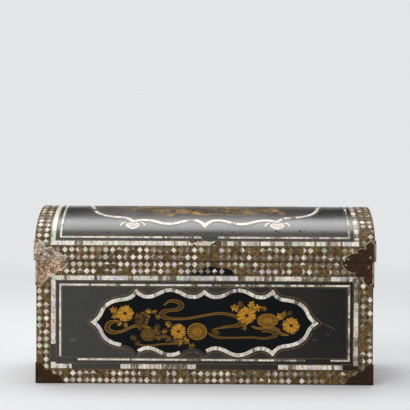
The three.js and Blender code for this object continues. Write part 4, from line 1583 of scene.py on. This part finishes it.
def paint(work, outline, worn, height=0.0):
    """A patch of gold with a soft edge, a little higher or lower than the rest of the painting."""
    work.plate(outline, PAINT + height, gold_tint(worn), 0.0, 0.1, PAINT_BED)


def paint_line(work, path, half_width, worn, height=0.0, closed=False):
    painted_line(work, path, half_width, gold_tint(worn), height, closed)


PETAL = ((0.2, -0.44), (0.6, -0.46), (0.88, -0.34), (1.0, 0.0), (0.88, 0.34), (0.6, 0.46), (0.2, 0.44))


def flower(work, u, v, radius, chance, squash=1.0, worn=0.0):
    """A painted flower: a rubbed disc, petals close together on it, and a dark red eye."""
    turn = 2 * math.pi / bpy.context.scene.coffer_sizes.petals
    paint(work, oval(u, v, radius * 0.84, squash), worn + 1.3, -0.05)
    for k in range(bpy.context.scene.coffer_sizes.petals):
        middle = (k + chance.uniform(-0.1, 0.1)) * turn
        reach = radius * chance.uniform(0.86, 1.03)
        outline = []
        for share, aside in PETAL:
            angle = middle + aside * turn
            across, along = math.cos(angle), math.sin(angle)
            outline.append((u + reach * share * across, v + squash * reach * share * along))
        paint(work, outline, worn + chance.uniform(-0.1, 0.4) + 0.3 * (k % 2), chance.uniform(0.0, 0.02))
    eye = oval(u, v, radius * 0.2, squash, 10)
    work.plate(eye, PAINT + 0.04, colour("4a1d0c"), 0.0, 0.1, PAINT_BED)


SPOKES = 22


def open_flower(work, u, v, radius, squash=1.0, worn=0.3):
    """A flower drawn in line on an almost bare disc: a rim, an eye and fine spokes in two lengths."""
    paint(work, oval(u, v, radius * 0.95, squash), 1.9, -0.05)
    for share, half_width in ((0.14, 0.5), (0.95, 0.3)):
        paint_line(work, oval(u, v, radius * share, squash), half_width, worn, closed=True)
    for k in range(SPOKES):
        angle = 2 * math.pi * k / SPOKES
        for shares in ((0.26, 0.5), (0.56, 0.9)):
            ends = [
                (u + radius * share * math.cos(angle), v + squash * radius * share * math.sin(angle))
                for share in shares
            ]
            paint_line(work, ends, 0.24, worn - 0.3, -0.01)


# One side of a leaf from its foot to its tip, as shares of its length.
LEAF_EDGE = (
    (0.0, 0.04), (0.08, 0.12), (0.1, 0.38), (0.24, 0.48), (0.34, 0.2), (0.48, 0.22), (0.54, 0.46), (0.7, 0.44),
    (0.76, 0.17), (0.92, 0.16), (1.06, 0.03),
)


def leaf(work, u, v, size, angle, worn=0.1):
    """A lobed leaf from its foot at u, v: one half brighter than the other, a dark midrib and a stalk."""
    c, s = math.cos(angle), math.sin(angle)
    for side in (1, -1):
        half = [(0.0, 0.025), *LEAF_EDGE, (1.06, 0.025)]
        outline = [(u + size * (x * c - side * y * s), v + size * (x * s + side * y * c)) for x, y in half]
        paint(work, outline[::-1] if side > 0 else outline, worn + (0.1 if side > 0 else 0.55))
    paint_line(work, [(u - size * 0.35 * c, v - size * 0.35 * s), (u, v)], 0.25, worn + 0.3)


def bends(path):
    """How sharply a path bends round each of its points, from 0 to 1."""
    last, reach = len(path) - 1, 3
    sharp = []
    for i in range(len(path)):
        before, here, after = (Vector(path[min(max(k, 0), last)]) for k in (i - reach, i, i + reach))
        sharp.append(min(1.0, (here - before).angle(after - here, 0.0) / 0.8))
    near = [sharp[max(0, i - reach) : i + reach + 1] for i in range(len(path))]
    return [sum(each) / len(each) for each in near]


def stream(work, knots, width, worn=0.3):
    """Running water: a dark ribbon between fine lines, broad at its bends and narrow at its ends."""
    path = smooth_path(knots, 1.6)
    last = len(path) - 1
    halves = [
        width / 2 * (0.3 + 0.58 * bend) * min(1.0, 0.3 + 8 * min(i, last - i) / last)
        for i, bend in enumerate(bends(path))
    ]
    sides = path_sides(path, 1.0)

    def beside(share):
        return [Vector(l).lerp(Vector(r), 0.5 + half * share / 2) for (l, r), half in zip(sides, halves)]

    ribbon = [(tuple(l), tuple(r)) for l, r in zip(beside(-1), beside(1))]
    work.strip(ribbon, PAINT - 0.06, gold_tint(1.85), 0.0, 0.05, PAINT_BED)
    for share in (-1, -0.3, 0.35, 1):
        edge = abs(share) == 1
        paint_line(work, [tuple(p) for p in beside(share)], 0.32 if edge else 0.2, worn if edge else 1.3, -0.02)


def dusted(work, u, v, half_length, half_width, chance):
    """A ragged patch of worn gold powder."""
    turns = [2 * math.pi * k / 28 for k in range(28)]
    outline = [
        (u + half_length * reach * math.cos(turn), v + half_width * reach * math.sin(turn))
        for turn, reach in ((turn, chance.uniform(0.62, 1.08)) for turn in turns)
    ]
    work.plate(outline, PAINT - 0.07, gold_tint(0.8), 0.0, 0.1, PAINT_BED)


# The painting of each panel, in millimetres from its middle: flowers, full or open, with their radius,
# squash and wear, leaves with their length, angle in degrees and wear, streams with their width, and
# dusted patches with their half length and half width.
FRONT_PAINTING = {
    "flowers": [
        (-98, 11, 11.5, 0.92, 0.0), (-32, -11, 10.5, 1, 0.0), (52, 9, 12.5, 0.95, 0.0),
        (107, -3, 11.5, 0.95, 0.0),
    ],
    "open": [(-9, -11, 12.5, 0.85, 0.3), (78, 3, 13, 0.66, 0.3), (-70, -15, 9, 0.9, 1.0)],
    "leaves": [
        (-108, 14, 9, 165, 0.1), (-107, 9, 8, 200, 0.2), (-103, 1, 7, 230, 0.3), (-98, -1, 6, 280, 0.3),
        (-86, 8, 11, -20, 1.1), (-85, 3, 9, -45, 1.2), (-66, 13, 7, 165, 0.1), (-64, 12, 6, 20, 0.4),
        (-60, 8, 6, -40, 0.5), (-42, -5, 8, 130, 0.2), (-46, -10, 7, 190, 0.5), (-30, -21, 8, -100, 0.4),
        (-26, -20, 9, -40, 0.3), (-84, -20, 8, 165, 0.9), (-80, -24, 7, -150, 1.0), (-78, -9, 8, 120, 1.0),
        (-60, -9, 8, 60, 1.1), (-19, -30, 8, 10, 0.7), (42, 17, 10, 160, 0.1), (46, 20, 8, 110, 0.9),
        (56, 19, 9, 60, 0.0), (60, 17, 10, 15, 0.0), (70, 18, 7, -10, 0.6), (48, -2, 8, -80, 0.6),
        (96, 5, 9, 130, 0.1), (99, 8, 7, 90, 0.5), (104, 10, 6, 60, 1.0), (10, -12, 9, -10, 0.9),
    ],
    "streams": [
        (
            [(-106, 2), (-117, -1), (-120, -8), (-113, -12.5), (-101, -11), (-90, -6), (-80, -4), (-66, -7)],
            6.4,
        ),
        ([(-50, 21), (-44, 26), (-34, 26), (-28, 21), (-34, 16), (-48, 14), (-53, 9), (-44, 5), (-22, 5),
          (6, 10), (20, 11.5), (36, 9), (45, 3), (41, -3), (24, -5.5), (9, -9)], 6.6),
        ([(4, -13), (16, -18), (34, -18.5), (58, -18), (76, -19), (88, -15), (82, -10), (70, -11)], 5.6),
        ([(58, -4), (68, -7), (80, -6), (90, -8), (94, -13), (104, -15)], 4.4),
        ([(-84, -27), (-70, -29), (-54, -27), (-38, -26), (-26, -22)], 3.6),
        ([(-60, -20), (-50, -17), (-42, -20), (-48, -23)], 3.0),
    ],
    "dust": [(-76, 5, 11, 8), (-62, -15, 17, 10), (-33, -24, 10, 5)],
}
LID_PAINTING = {
    "flowers": [
        (-78, -18, 12, 1.0, 0.4), (-20, 14, 13, 1.0, 0.3), (34, -20, 13, 1.0, 0.3),
        (96, 12, 12, 1.0, 0.3), (-28, -40, 11, 1.0, 0.3), (84, -34, 11, 1.0, 0.5),
    ],
    "open": [
        (-104, 8, 12, 0.9, 0.5), (4, -8, 12, 0.9, 0.5), (66, 18, 12, 0.9, 0.5), (-56, -40, 11, 1.0, 0.6),
    ],
    "leaves": [
        (-92, 26, 14, 115, 0.4), (-66, -20, 14, 10, 0.4), (-88, -26, 13, 230, 0.5), (-10, 24, 14, 60, 0.4),
        (-30, 22, 13, 140, 0.3), (46, -26, 14, -40, 0.3), (28, -32, 12, 240, 0.5), (106, 4, 13, -30, 0.4),
        (100, 24, 12, 80, 0.5), (-114, -2, 12, 200, 0.4), (10, -18, 12, -60, 0.5), (76, 26, 12, 50, 0.4),
        (-18, -46, 13, -15, 0.3), (-40, -48, 12, 215, 0.4), (48, -44, 13, -10, 0.5), (4, -48, 12, 200, 0.3),
        (-6, 46, 12, 30, 0.4), (60, 46, 12, 150, 0.5), (-60, 44, 12, 100, 0.5), (94, -44, 11, -60, 0.6),
    ],
    "streams": [
        (
            [(-128, -14), (-110, -22), (-92, -32), (-70, -36), (-48, -34), (-30, -26), (-40, -18), (-56, -12)],
            8.5,
        ),
        ([(-84, 20), (-62, 28), (-40, 24), (-34, 6), (-16, -6), (6, -28), (22, -38), (48, -40), (70, -32),
          (62, -24)], 9.0),
        ([(20, 30), (40, 36), (64, 34), (88, 30), (104, 26), (122, 14), (130, 2)], 8.0),
        ([(40, 2), (58, -4), (78, -8), (96, -12), (84, -22)], 7.5),
        ([(-124, 6), (-112, 22), (-100, 34), (-76, 40), (-52, 38)], 7.5),
        ([(-12, -52), (10, -50), (30, -52), (52, -50), (66, -44)], 7.0),
    ],
    "dust": [
        (-100, -20, 34, 15), (-92, 12, 38, 16), (-50, -30, 36, 16), (-34, 20, 34, 18), (6, -38, 40, 13),
        (14, 6, 36, 16), (50, -22, 36, 15), (60, 30, 40, 14), (98, -8, 32, 20), (-10, 44, 40, 9), (84, -40, 22, 8),
    ],
}
END_PAINTING = {
    "flowers": [(-14, 2, 9, 0.95, 0.1)],
    "open": [(8, -6, 8, 0.9, 0.35)],
    "leaves": [
        (-22, 6, 9, 155, 0.2), (-8, 9, 8, 60, 0.2), (15, 1, 8, 40, 0.3),
        (-20, -6, 7, 220, 0.4), (-4, -12, 7, -60, 0.6),
    ],
    "streams": [
        ([(-36, -6), (-26, -13), (-10, -14), (6, -16), (22, -13), (34, -6)], 5.0),
        ([(10, 8), (22, 12), (30, 8), (24, 3)], 4.4),
    ],
    "dust": [],
}
PAINTINGS = {
    "front": FRONT_PAINTING,
    "lid": LID_PAINTING,
    "left_end": END_PAINTING,
    "right_end": END_PAINTING,
}


class COFFER_OT_gold_painting(bpy.types.Operator):
    """Paints the flowers, leaves and running water inside the cusped outlines"""

    bl_idname = "coffer.gold_painting"
    bl_label = "Gold painting"

    def execute(self, context):
        for name, (place, _, _, middle, _, _) in panels().items():
            painting = PAINTINGS[name]
            chance = random.Random(f"{name} painting")
            water, plants, dust = Work(place), Work(place), Work(place)
            for knots, width in painting["streams"]:
                stream(water, [(u, v + middle) for u, v in knots], width, chance.uniform(0.4, 0.9))
            for u, v, radius, squash, worn in painting["open"]:
                open_flower(plants, u, v + middle, radius, squash, worn)
            for u, v, size, angle, worn in painting["leaves"]:
                leaf(plants, u, v + middle, size, math.radians(angle), worn)
            for u, v, radius, squash, worn in painting["flowers"]:
                flower(plants, u, v + middle, radius, chance, squash, worn)
            for u, v, half_length, half_width in painting["dust"]:
                dusted(dust, u, v + middle, half_length, half_width, chance)
            if painting["dust"]:
                dust.piece(f"{name}_gold_dust", "Worn gold")
            gold = "Rubbed gold" if name == "lid" else "Gold painting"
            water.piece(f"{name}_gold_streams", gold)
            plants.piece(f"{name}_gold_flowers", gold)
        return {"FINISHED"}


# Shell flowers under the side cusps of the lid's outline


# One side of a heart and the stroke beside it, as shares of its size from its middle, its point first.
HEART_SIDE = ((0.0, -0.8), (0.85, -0.35), (1.05, 0.25), (0.55, 0.62), (0.0, 0.3))
HEART_STROKE = ((1.2, 0.85), (1.75, 0.55), (2.05, -0.1))


def shell_heart(work, u, v, size, up, chance):
    """A flat heart-shaped flower of shell: its outline, a rosy inside and a stroke at each side."""
    colours = bpy.context.scene.coffer_colours
    flat = 1.05 * size * up
    sides = []
    for side in (-1, 1):
        path = smooth_path([(u + side * size * x, v + flat * y) for x, y in HEART_SIDE], 1.2)
        edges = path_sides(path, size * 0.085)
        work.strip(edges, SHELL, tuple(colours.shell_white), chance.uniform(0, 3), 0.1)
        stroke = smooth_path([(u + side * size * x, v + flat * y) for x, y in HEART_STROKE], 1.2)
        work.strip(path_sides(stroke, size * 0.1), SHELL, tuple(colours.shell_white), 0.4, 0.1)
        sides.append(path)
    inside = sides[1] + sides[0][-2:0:-1]
    if up < 0:
        inside = inside[::-1]
    work.plate(inside, SHELL - 0.06, tuple(c * 0.5 for c in colours.shell_rose), 1.0)


class COFFER_OT_shell_flowers(bpy.types.Operator):
    """Lays the small shell flowers below the side cusps of the lid's outline"""

    bl_idname = "coffer.shell_flowers"
    bl_label = "Shell flowers"

    def execute(self, context):
        place, half_length, half_height, middle, outline, _ = panels()["lid"]
        cusp_u = half_length - outline["tip_clearance"] - outline["cusp_from_tip"]
        cusp_v = half_height - outline["crest_clearance"] - outline["cusp_drop"]
        work, chance = Work(place), random.Random("shell flowers")
        for side_u in (-1, 1):
            for side_v in (-1, 1):
                shell_heart(work, side_u * cusp_u, middle + side_v * (cusp_v + 8.5), 7.5, -side_v, chance)
        work.piece("lid_shell_flowers", "Pearl shell")
        return {"FINISHED"}


# Copper corner mounts

MOUNT_RAISED = 0.98  # no rim, scroll or nail stands further out than the frame's mount
CORNER_HIGHLIGHT = 0.75  # from the corner to the middle of the bright line beside it, a painted highlight
RIM_SLOT, SCROLL_SLOT = 1, 2  # places of the rim's and the scroll's metal among a mount's materials


def leaf_columns(width, rise, thickness, ceiling=None, bent=False):
    """The points of a leaf in columns from its far foot to the corner, each from foot to edge."""
    outline = leaf_outline(width, rise) + [(-thickness, rise)]
    columns = []
    for d, y in outline:
        if ceiling:
            y = min(y, ceiling(d))
        if bent:
            low = min(y, RAIL_TOP)
            rows = [low * k / 2 for k in range(3)] + [low + (y - low) * k / 3 for k in range(1, 4)]
        else:
            rows = [y * k / 2 for k in range(3)]
        columns.append([(d, row) for row in rows])
    return columns


def mount_leaf(work, width, rise, tints, ceiling=None, bent=False):
    """One leaf: its sheet, a raised rim along the lobes, an engraved scroll and its nails in dark rings."""
    sizes = bpy.context.scene.coffer_sizes
    thickness = sizes.mount_thickness
    sheet, rim, scroll, nail = tints
    work.sheet(leaf_columns(width, rise, thickness, ceiling, bent), thickness, 0.0, sheet)
    edge = [(d, min(y, ceiling(d)) if ceiling else y) for d, y in dense(leaf_outline(width, rise), 2.0)]
    middle = [left for left, _ in path_sides(edge, sizes.mount_rim / 2)]
    work.slot = RIM_SLOT
    work.strip(path_sides(middle, sizes.mount_rim / 2), MOUNT_RAISED, rim, 0.0, 0.3, 0.1)
    # A bright strip of the rim's metal along the corner, raised a little: a painted highlight on the sheet's
    # folded edge.
    painted_corner_highlight = [(CORNER_HIGHLIGHT, rise * k / 14) for k in range(13)]
    if ceiling:
        # It ends under the dome. The last term keeps its points apart.
        painted_corner_highlight = [(d, min(y, ceiling(0.0) - 0.5 + 0.001 * y)) for d, y in painted_corner_highlight]
    work.strip(path_sides(painted_corner_highlight, CORNER_HIGHLIGHT - 0.05), thickness + 0.12, rim, 0.0, 0.1, 0.1)
    work.slot = SCROLL_SLOT
    for knots in MOUNT_SCROLLS:
        path = smooth_path([(width * a, rise * b) for a, b in knots], 1.5)
        if ceiling:
            path = [(d, min(y, ceiling(d) - 1)) for d, y in path]
        work.strip(path_sides(path, 0.3), thickness + 0.1, scroll, 0.0, 0.1, thickness - 0.1)
    for a, b in MOUNT_NAILS:
        d, y = width * a, rise * b
        if not ceiling or y < ceiling(d) - 2:
            work.slot = SCROLL_SLOT
            work.plate(circle(d, y, sizes.nail_radius * 1.75, 12), thickness + 0.06, scroll, 0.0, 0.1, 0.1)
            work.slot = RIM_SLOT
            work.dome_head(d, y, sizes.nail_radius, MOUNT_RAISED - thickness, thickness, nail)
    work.slot = 0


# Shares of a leaf's width and height: its scrolls' knots and its nails.
MOUNT_SCROLLS = (
    [(0.08, 0.1), (0.3, 0.12), (0.52, 0.1), (0.66, 0.18), (0.6, 0.28), (0.5, 0.24), (0.54, 0.18)],
    [(0.08, 0.1), (0.1, 0.36), (0.1, 0.6), (0.18, 0.72), (0.26, 0.64), (0.22, 0.56), (0.17, 0.6)],
    [(0.12, 0.14), (0.26, 0.3), (0.38, 0.46), (0.46, 0.42), (0.42, 0.34), (0.37, 0.38)],
    [(0.2, 0.22), (0.24, 0.4), (0.3, 0.5), (0.25, 0.52)],
    [(0.3, 0.12), (0.38, 0.22), (0.48, 0.3), (0.56, 0.3)],
    [(0.66, 0.18), (0.76, 0.14), (0.8, 0.06), (0.7, 0.07)],
    [(0.1, 0.36), (0.16, 0.46), (0.14, 0.54)],
    [(0.28, 0.2), (0.2, 0.3), (0.15, 0.26)],
    [(0.44, 0.06), (0.38, 0.12), (0.4, 0.2), (0.46, 0.17)],
)
MOUNT_NAILS = ((0.86, 0.12), (0.58, 0.42), (0.32, 0.62), (0.07, 0.88), (0.16, 0.2))


def corner_place(face, half, side, foot=0.0, up=1):
    """Puts a point of a leaf, from its corner and its foot, on a face."""
    return lambda d, y, height: face(side * (half - d), foot + up * y, height)


def make_mount(name, leaves):
    """A mount from its leaves. Each is a face's place, its width and height, and how it is cut."""
    *metals, tints = mount_finish(name)
    made = None
    for place, *cut in leaves:
        work = Work(place)
        mount_leaf(work, *cut[:2], tints, *cut[2:])
        piece = work.piece(f"{name}_copper", *metals)
        if made:
            join(made, piece)
        else:
            made = piece
    close_skin(made, sharp=40)
    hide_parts(name)


def grey(share):
    return (share,) * 3


def mount_finish(name):
    """A mount's metals, for sheet, rim and scroll, and their tints, the nails' included.

    The front left ones are pale: partly worn silvering, partly painted light from the left. The others are toned
    dark.
    """
    dark, silvered = "Dark copper", "Silvered copper"
    if name == "lid_mount_front_left":
        return silvered, silvered, dark, (grey(0.92), grey(1.2), grey(0.9), grey(1.25))
    if name == "case_mount_upper_front_left":
        return "Pale copper", silvered, dark, (grey(1.0), grey(1.05), grey(1.3), grey(1.2))
    if "lower" in name:
        return dark, dark, dark, ((0.6, 0.7, 0.8), grey(1.2), grey(1.2), grey(1.8))
    return dark, silvered, dark, (grey(1.0), grey(0.7), grey(1.9), grey(0.8))


class COFFER_OT_mounts(bpy.types.Operator):
    """Makes the twelve engraved copper corner mounts"""

    bl_idname = "coffer.mounts"
    bl_label = "Corner mounts"

    def execute(self, context):
        for front, face, sign in (("front", on_case_front, 1), ("back", on_case_back, -1)):
            lid_face = on_lid_front if front == "front" else on_lid_back
            for hand, side in HANDS:
                corner = f"{front}_{hand}"
                end = on_case_left if side < 0 else on_case_right
                lid_end = on_lid_left if side < 0 else on_lid_right
                along, across = side * sign, -side * sign
                for level, size, *way in (("upper", UPPER_MOUNT, CASE_TOP, -1), ("lower", LOWER_MOUNT, 0.5, 1)):
                    leaves = [
                        (corner_place(face, CASE_X, along, *way), size["front"], size["height"]),
                        (corner_place(end, CASE_Y, across, *way), size["side"], size["height"]),
                    ]
                    make_mount(f"case_mount_{level}_{corner}", leaves)
                size = LID_MOUNT
                leaves = [
                    (corner_place(lid_face, LID_X, along), size["front"], size["height"], None, True),
                    (corner_place(lid_end, LID_Y, across), size["side"], size["height"], lid_ceiling),
                ]
                make_mount(f"lid_mount_{corner}", leaves)
        return {"FINISHED"}


def lid_ceiling(from_edge):
    """How high a leaf on the lid's end may reach before it meets the dome."""
    return dome_height(max(from_edge, 0.0))


# Hinges

HINGE_X = 115.0
HINGE_NAILS = ((-11.0, 8.0), (11.0, 8.0), (-9.0, 21.0), (9.0, 21.0), (0.0, 29.0))
HINGE_LEAF = 1.3  # height of a hinge leaf's face over the wood


class COFFER_OT_hinges(bpy.types.Operator):
    """Gives the frame's hinges their finish, softened edges and domed nails"""

    bl_idname = "coffer.hinges"
    bl_label = "Hinges"

    def execute(self, context):
        for name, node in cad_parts.items():
            if name.startswith("hinge_"):
                node.data.materials.clear()
                node.data.materials.append(finish("Hinge copper"))
                soften = node.modifiers.new("softened edges", "BEVEL")
                soften.width = 0.25 * MM
                soften.segments = 2
                soften.limit_method = "ANGLE"
                soften.angle_limit = math.radians(50)
        radius = context.scene.coffer_sizes.nail_radius
        for hand, side in HANDS:
            for body, place, foot, up in (("case", on_case_back, CASE_TOP, -1), ("lid", on_lid_back, 0.0, 1)):
                nails = Work(place)
                for u, away in HINGE_NAILS:
                    nails.dome_head(u - side * HINGE_X, foot + up * away, radius, 0.5, HINGE_LEAF, WHITE)
                nails.piece(f"hinge_{hand}_{body}_nails", "Pale copper")
        return {"FINISHED"}


# What the lost lock plate and hasp left, and small knocks

SCAR_HOLES = ((-17, 24.5), (-14.5, 30), (-11, 25.5), (-6, 25), (-3, 30.5), (9, 18), (13, 22), (-13, 19))
SCAR_MARKS = (
    (13, 20.3, 7.5, 2.9, 0.2), (-13, 24.0, 4.5, 1.6, 0.5), (5, 25.4, 5.5, 1.3, -0.1), (15, 14, 5, 3, 1.2),
)
LID_KNOCKS = (
    (-120, 37, 1.6), (-72, 34, 1.3), (-30, 36, 2.0), (-24, 30, 1.2), (-6, 33, 1.4), (2, 37, 1.0), (21, 36, 1.5),
    (29, 33, 1.2), (34, 38, 1.4), (47, 35, 1.0), (88, 40, 1.8), (92, 39, 1.2), (118, 41, 2.2), (123, 40, 1.4),
)
FRONT_KNOCKS = (
    (152, 62, 1.9), (156, 66, 1.2), (160, 60, 1.0), (-98, 37, 1.3), (136, 52, 0.8), (-150, 70, 0.8),
)
SCRATCH = (0.16, 0.16, 0.15)
BARE_EDGE = [
    (-17, 16), (-14, 13), (-8, 10.5), (-2, 9.5), (4, 7), (12, 7), (18, 9), (28, 9.5), (34, 11), (37, 14),
]
BARE_LOW = 18.2  # where the bare ground under the lost hasp ends, from the case's top
PALE_SCRATCHES = ((-168, 52, -160, 56), (-166, 51, -158, 54.5), (133, 56, 140, 55), (148, 75, 161, 69))


def knock(work, u, v, size, chance, tint, squash=1.0, lean=0.0):
    """A small ragged patch where the lacquer is chipped."""
    sides = 11
    outline = []
    for k in range(sides):
        angle = 2 * math.pi * k / sides
        reach = size * chance.uniform(0.65, 1.1)
        x, y = reach * math.cos(angle), squash * reach * math.sin(angle)
        c, s = math.cos(lean), math.sin(lean)
        outline.append((u + x * c - y * s, v + x * s + y * c))
    work.plate(outline, PAINT + 0.03, tint, 0.0, 0.05, PAINT_BED)


class COFFER_OT_old_damage(bpy.types.Operator):
    """Marks where the lost lock plate and hasp sat, and adds small chips and scratches"""

    bl_idname = "coffer.old_damage"
    bl_label = "Lock scar and knocks"

    def execute(self, context):
        chance = random.Random("old damage")
        holes, chips = Work(on_lid_front), Work(on_lid_front)
        # The nail holes are not cut: each is a dark disc, painted shade for the inside of a hole.
        for u, v in SCAR_HOLES:
            knock(chips, u, v, 2.2, chance, WHITE)
            holes.plate(circle(u, v, 0.85, 10), 0.0, WHITE, 0.0, 0.05, PAINT_BED)
        for u, v, size, narrow, lean in SCAR_MARKS:
            knock(chips, u, v, size, chance, WHITE, narrow / size, lean)
        for u, v, size in LID_KNOCKS:
            knock(holes, u, v, size * 0.8, chance, WHITE, 0.7)
        chips.piece("lid_front_chips", "Worn lacquer")
        holes.piece("lid_lock_nail_holes", "Field lacquer")
        front = Work(on_case_front)
        for u, v, size in FRONT_KNOCKS:
            knock(front, u, v, size, chance, WHITE, 0.5, 0.3)
        front.piece("case_front_chips", "Worn lacquer")
        scratches = Work(on_case_front)
        for u0, v0, u1, v1 in PALE_SCRATCHES:
            painted_line(scratches, dense([(u0, v0), (u1, v1)]), 0.25, SCRATCH, closed=False)
        scratches.piece("case_front_scratches", "Gold line")
        bare = Work(on_case_front)
        upper = [(u, CASE_TOP - depth + chance.uniform(-0.5, 0.5)) for u, depth in dense(BARE_EDGE, 2.0)]
        bare.strip([((u, v), (u, CASE_TOP - BARE_LOW)) for u, v in upper], GROUND + 0.04, WHITE, 0.0, 0.02)
        bare.piece("case_front_bare_ground", "Field lacquer")
        return {"FINISHED"}


# The stage

# Each lamp's place, what it is turned to and its length and width, in metres
LAMP_OVERHEAD = ((-0.15, 0.42, 1.75), (-0.15, 0.42, 0.15), (1.5, 1.25))
LAMP_FRONT = ((-1.5, -2.6, 1.7), (0.0, 0.0, 0.1), (1.8, 1.8))
SKY_STRENGTH = 0.42
SKY_SEEN = 0.36  # what is added where the sky is seen directly

class COFFER_OT_stage(bpy.types.Operator):
    """Sets the pale floor and backdrop, the soft lamps and the camera"""

    bl_idname = "coffer.stage"
    bl_label = "Stage, lamps and camera"

    def execute(self, context):
        stage = context.scene.coffer_stage
        make_backdrop(stage)
        make_lamp("lamp_overhead", *LAMP_OVERHEAD, stage.overhead)
        make_lamp("lamp_front", *LAMP_FRONT, stage.front)
        make_camera(stage)
        make_world()
        context.scene.view_settings.view_transform = "Standard"
        return {"FINISHED"}


def make_backdrop(stage):
    """A floor that curves up into a wall behind."""
    reach, behind, radius, top, below = 6.0, 3.2, 1.4, 5.0, -0.0003
    section = [(-reach, below), (behind - radius, below)]
    section += [
        (behind - radius + radius * math.sin(t), below + radius - radius * math.cos(t))
        for t in (math.radians(90 * k / 12) for k in range(1, 13))
    ]
    section.append((behind, top))
    points = [Vector((x, y, z)) for y, z in section for x in (-reach, reach)]
    faces = [[2 * i, 2 * i + 1, 2 * i + 3, 2 * i + 2] for i in range(len(section) - 1)]
    mesh = bpy.data.meshes.new("floor")
    mesh.from_pydata(points, [], faces)
    mesh.shade_smooth()
    mesh.materials.append(floor_paper(tuple(stage.floor)))
    floor = bpy.data.objects.new("floor", mesh)
    bpy.context.scene.collection.objects.link(floor)


def seen_directly(w):
    """1 for what the camera sees, also in a reflection or through glass, and 0 for light on the coffer."""
    rays = w.node("ShaderNodeLightPath").outputs
    reflected = w.plus(rays["Is Glossy Ray"], rays["Is Transmission Ray"])
    return w.plus(rays["Is Camera Ray"], reflected, clamp=True)


ABOVE_PAPER = (0.03, 0.03, 0.032)  # the dark studio over the backdrop, higher than the photo's frame


def floor_paper(grey):
    """Pale paper. Far from the coffer the camera and reflections see it in its own even colour."""
    material, w, shader, place = new_material("Floor paper", Roughness=0.75)
    cloud = w.between(w.noise(place, 1.2, 2.0), 0.3, 0.7)
    w.feed(shader.inputs["Base Color"], w.mix(cloud, grey, tuple(c * 0.97 for c in grey)))
    outwards = w.node("ShaderNodeVectorMath", {0: place}, operation="LENGTH").outputs["Value"]
    far = w.between(outwards, 0.5, 2.2)
    rise = w.axis(place, "Z")
    even = w.node("ShaderNodeEmission")
    w.feed(even.inputs["Color"], w.mix(w.between(rise, 1.0, 1.5), grey, ABOVE_PAPER))
    share = w.times(seen_directly(w), far)
    blend = w.node("ShaderNodeMixShader", {0: share, 1: shader.outputs[0], 2: even.outputs[0]})
    w.feed(material.node_tree.nodes["Material Output"].inputs["Surface"], blend.outputs[0])
    return material


def make_lamp(name, place, towards, size, power):
    lamp = bpy.data.lights.new(name, "AREA")
    lamp.shape = "RECTANGLE"
    lamp.size, lamp.size_y = size
    lamp.energy = power
    made = bpy.data.objects.new(name, lamp)
    made.location = place
    made.rotation_euler = (Vector(towards) - Vector(place)).to_track_quat("-Z", "Y").to_euler()
    bpy.context.scene.collection.objects.link(made)


CAMERA_PITCH = math.radians(1.56)
CAMERA_YAW = math.radians(0.71)
CAMERA_ROLL = math.radians(0.26)


def make_camera(stage):
    lens = bpy.data.cameras.new("camera")
    lens.lens, lens.sensor_width = stage.lens, 36.0
    camera = bpy.data.objects.new("camera", lens)
    bpy.context.scene.collection.objects.link(camera)
    camera.location = (stage.camera_side, -stage.distance, stage.camera_height)
    turn = Matrix.Rotation(CAMERA_YAW, 4, "Z") @ Matrix.Rotation(math.pi / 2 - CAMERA_PITCH, 4, "X")
    camera.rotation_euler = (turn @ Matrix.Rotation(CAMERA_ROLL, 4, "Z")).to_euler()
    bpy.context.scene.camera = camera


def make_world():
    """An even sky, which is paler where it is seen directly."""
    world = bpy.data.worlds.new("studio")
    bpy.context.scene.world = world
    world.use_nodes = True
    w = Wiring(world.node_tree)
    background = world.node_tree.nodes["Background"]
    w.feed(background.inputs["Strength"], w.plus(SKY_STRENGTH, w.times(seen_directly(w), SKY_SEEN)))
    background.inputs["Color"].default_value = (1.0, 1.0, 1.0, 1.0)


# The add-on

PROPERTY_GROUPS = (CofferSizes, CofferColours, CofferStage)
OPERATORS = (
    COFFER_OT_lacquer,
    COFFER_OT_shell_frames,
    COFFER_OT_lozenges,
    COFFER_OT_gold_lines,
    COFFER_OT_gold_painting,
    COFFER_OT_shell_flowers,
    COFFER_OT_mounts,
    COFFER_OT_hinges,
    COFFER_OT_old_damage,
    COFFER_OT_stage,
)


class COFFER_PT_panel(bpy.types.Panel):
    """Lists the coffer's settings and the steps that make it"""

    bl_idname = "COFFER_PT_panel"
    bl_label = "Domed lacquer coffer"
    bl_space_type = "VIEW_3D"
    bl_region_type = "UI"
    bl_category = "Coffer"

    def draw(self, context):
        scene = context.scene
        for settings in (scene.coffer_sizes, scene.coffer_colours, scene.coffer_stage):
            box = self.layout.box()
            for name in settings.bl_rna.properties.keys():
                if name not in ("rna_type", "name"):
                    box.prop(settings, name)
        for operator in OPERATORS:
            self.layout.operator(operator.bl_idname)


def register():
    for each in (*PROPERTY_GROUPS, *OPERATORS, COFFER_PT_panel):
        bpy.utils.register_class(each)
    bpy.types.Scene.coffer_sizes = PointerProperty(type=CofferSizes)
    bpy.types.Scene.coffer_colours = PointerProperty(type=CofferColours)
    bpy.types.Scene.coffer_stage = PointerProperty(type=CofferStage)


def unregister():
    del bpy.types.Scene.coffer_stage
    del bpy.types.Scene.coffer_colours
    del bpy.types.Scene.coffer_sizes
    for each in reversed((*PROPERTY_GROUPS, *OPERATORS, COFFER_PT_panel)):
        bpy.utils.unregister_class(each)


def main():
    register()
    for make_effect in EFFECTS:
        make_effect()
    make_materials()
    for operator in OPERATORS:
        step = operator.bl_idname.split(".")[1]
        getattr(bpy.ops.coffer, step)()
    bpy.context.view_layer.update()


if __name__ == "__main__":
    main()
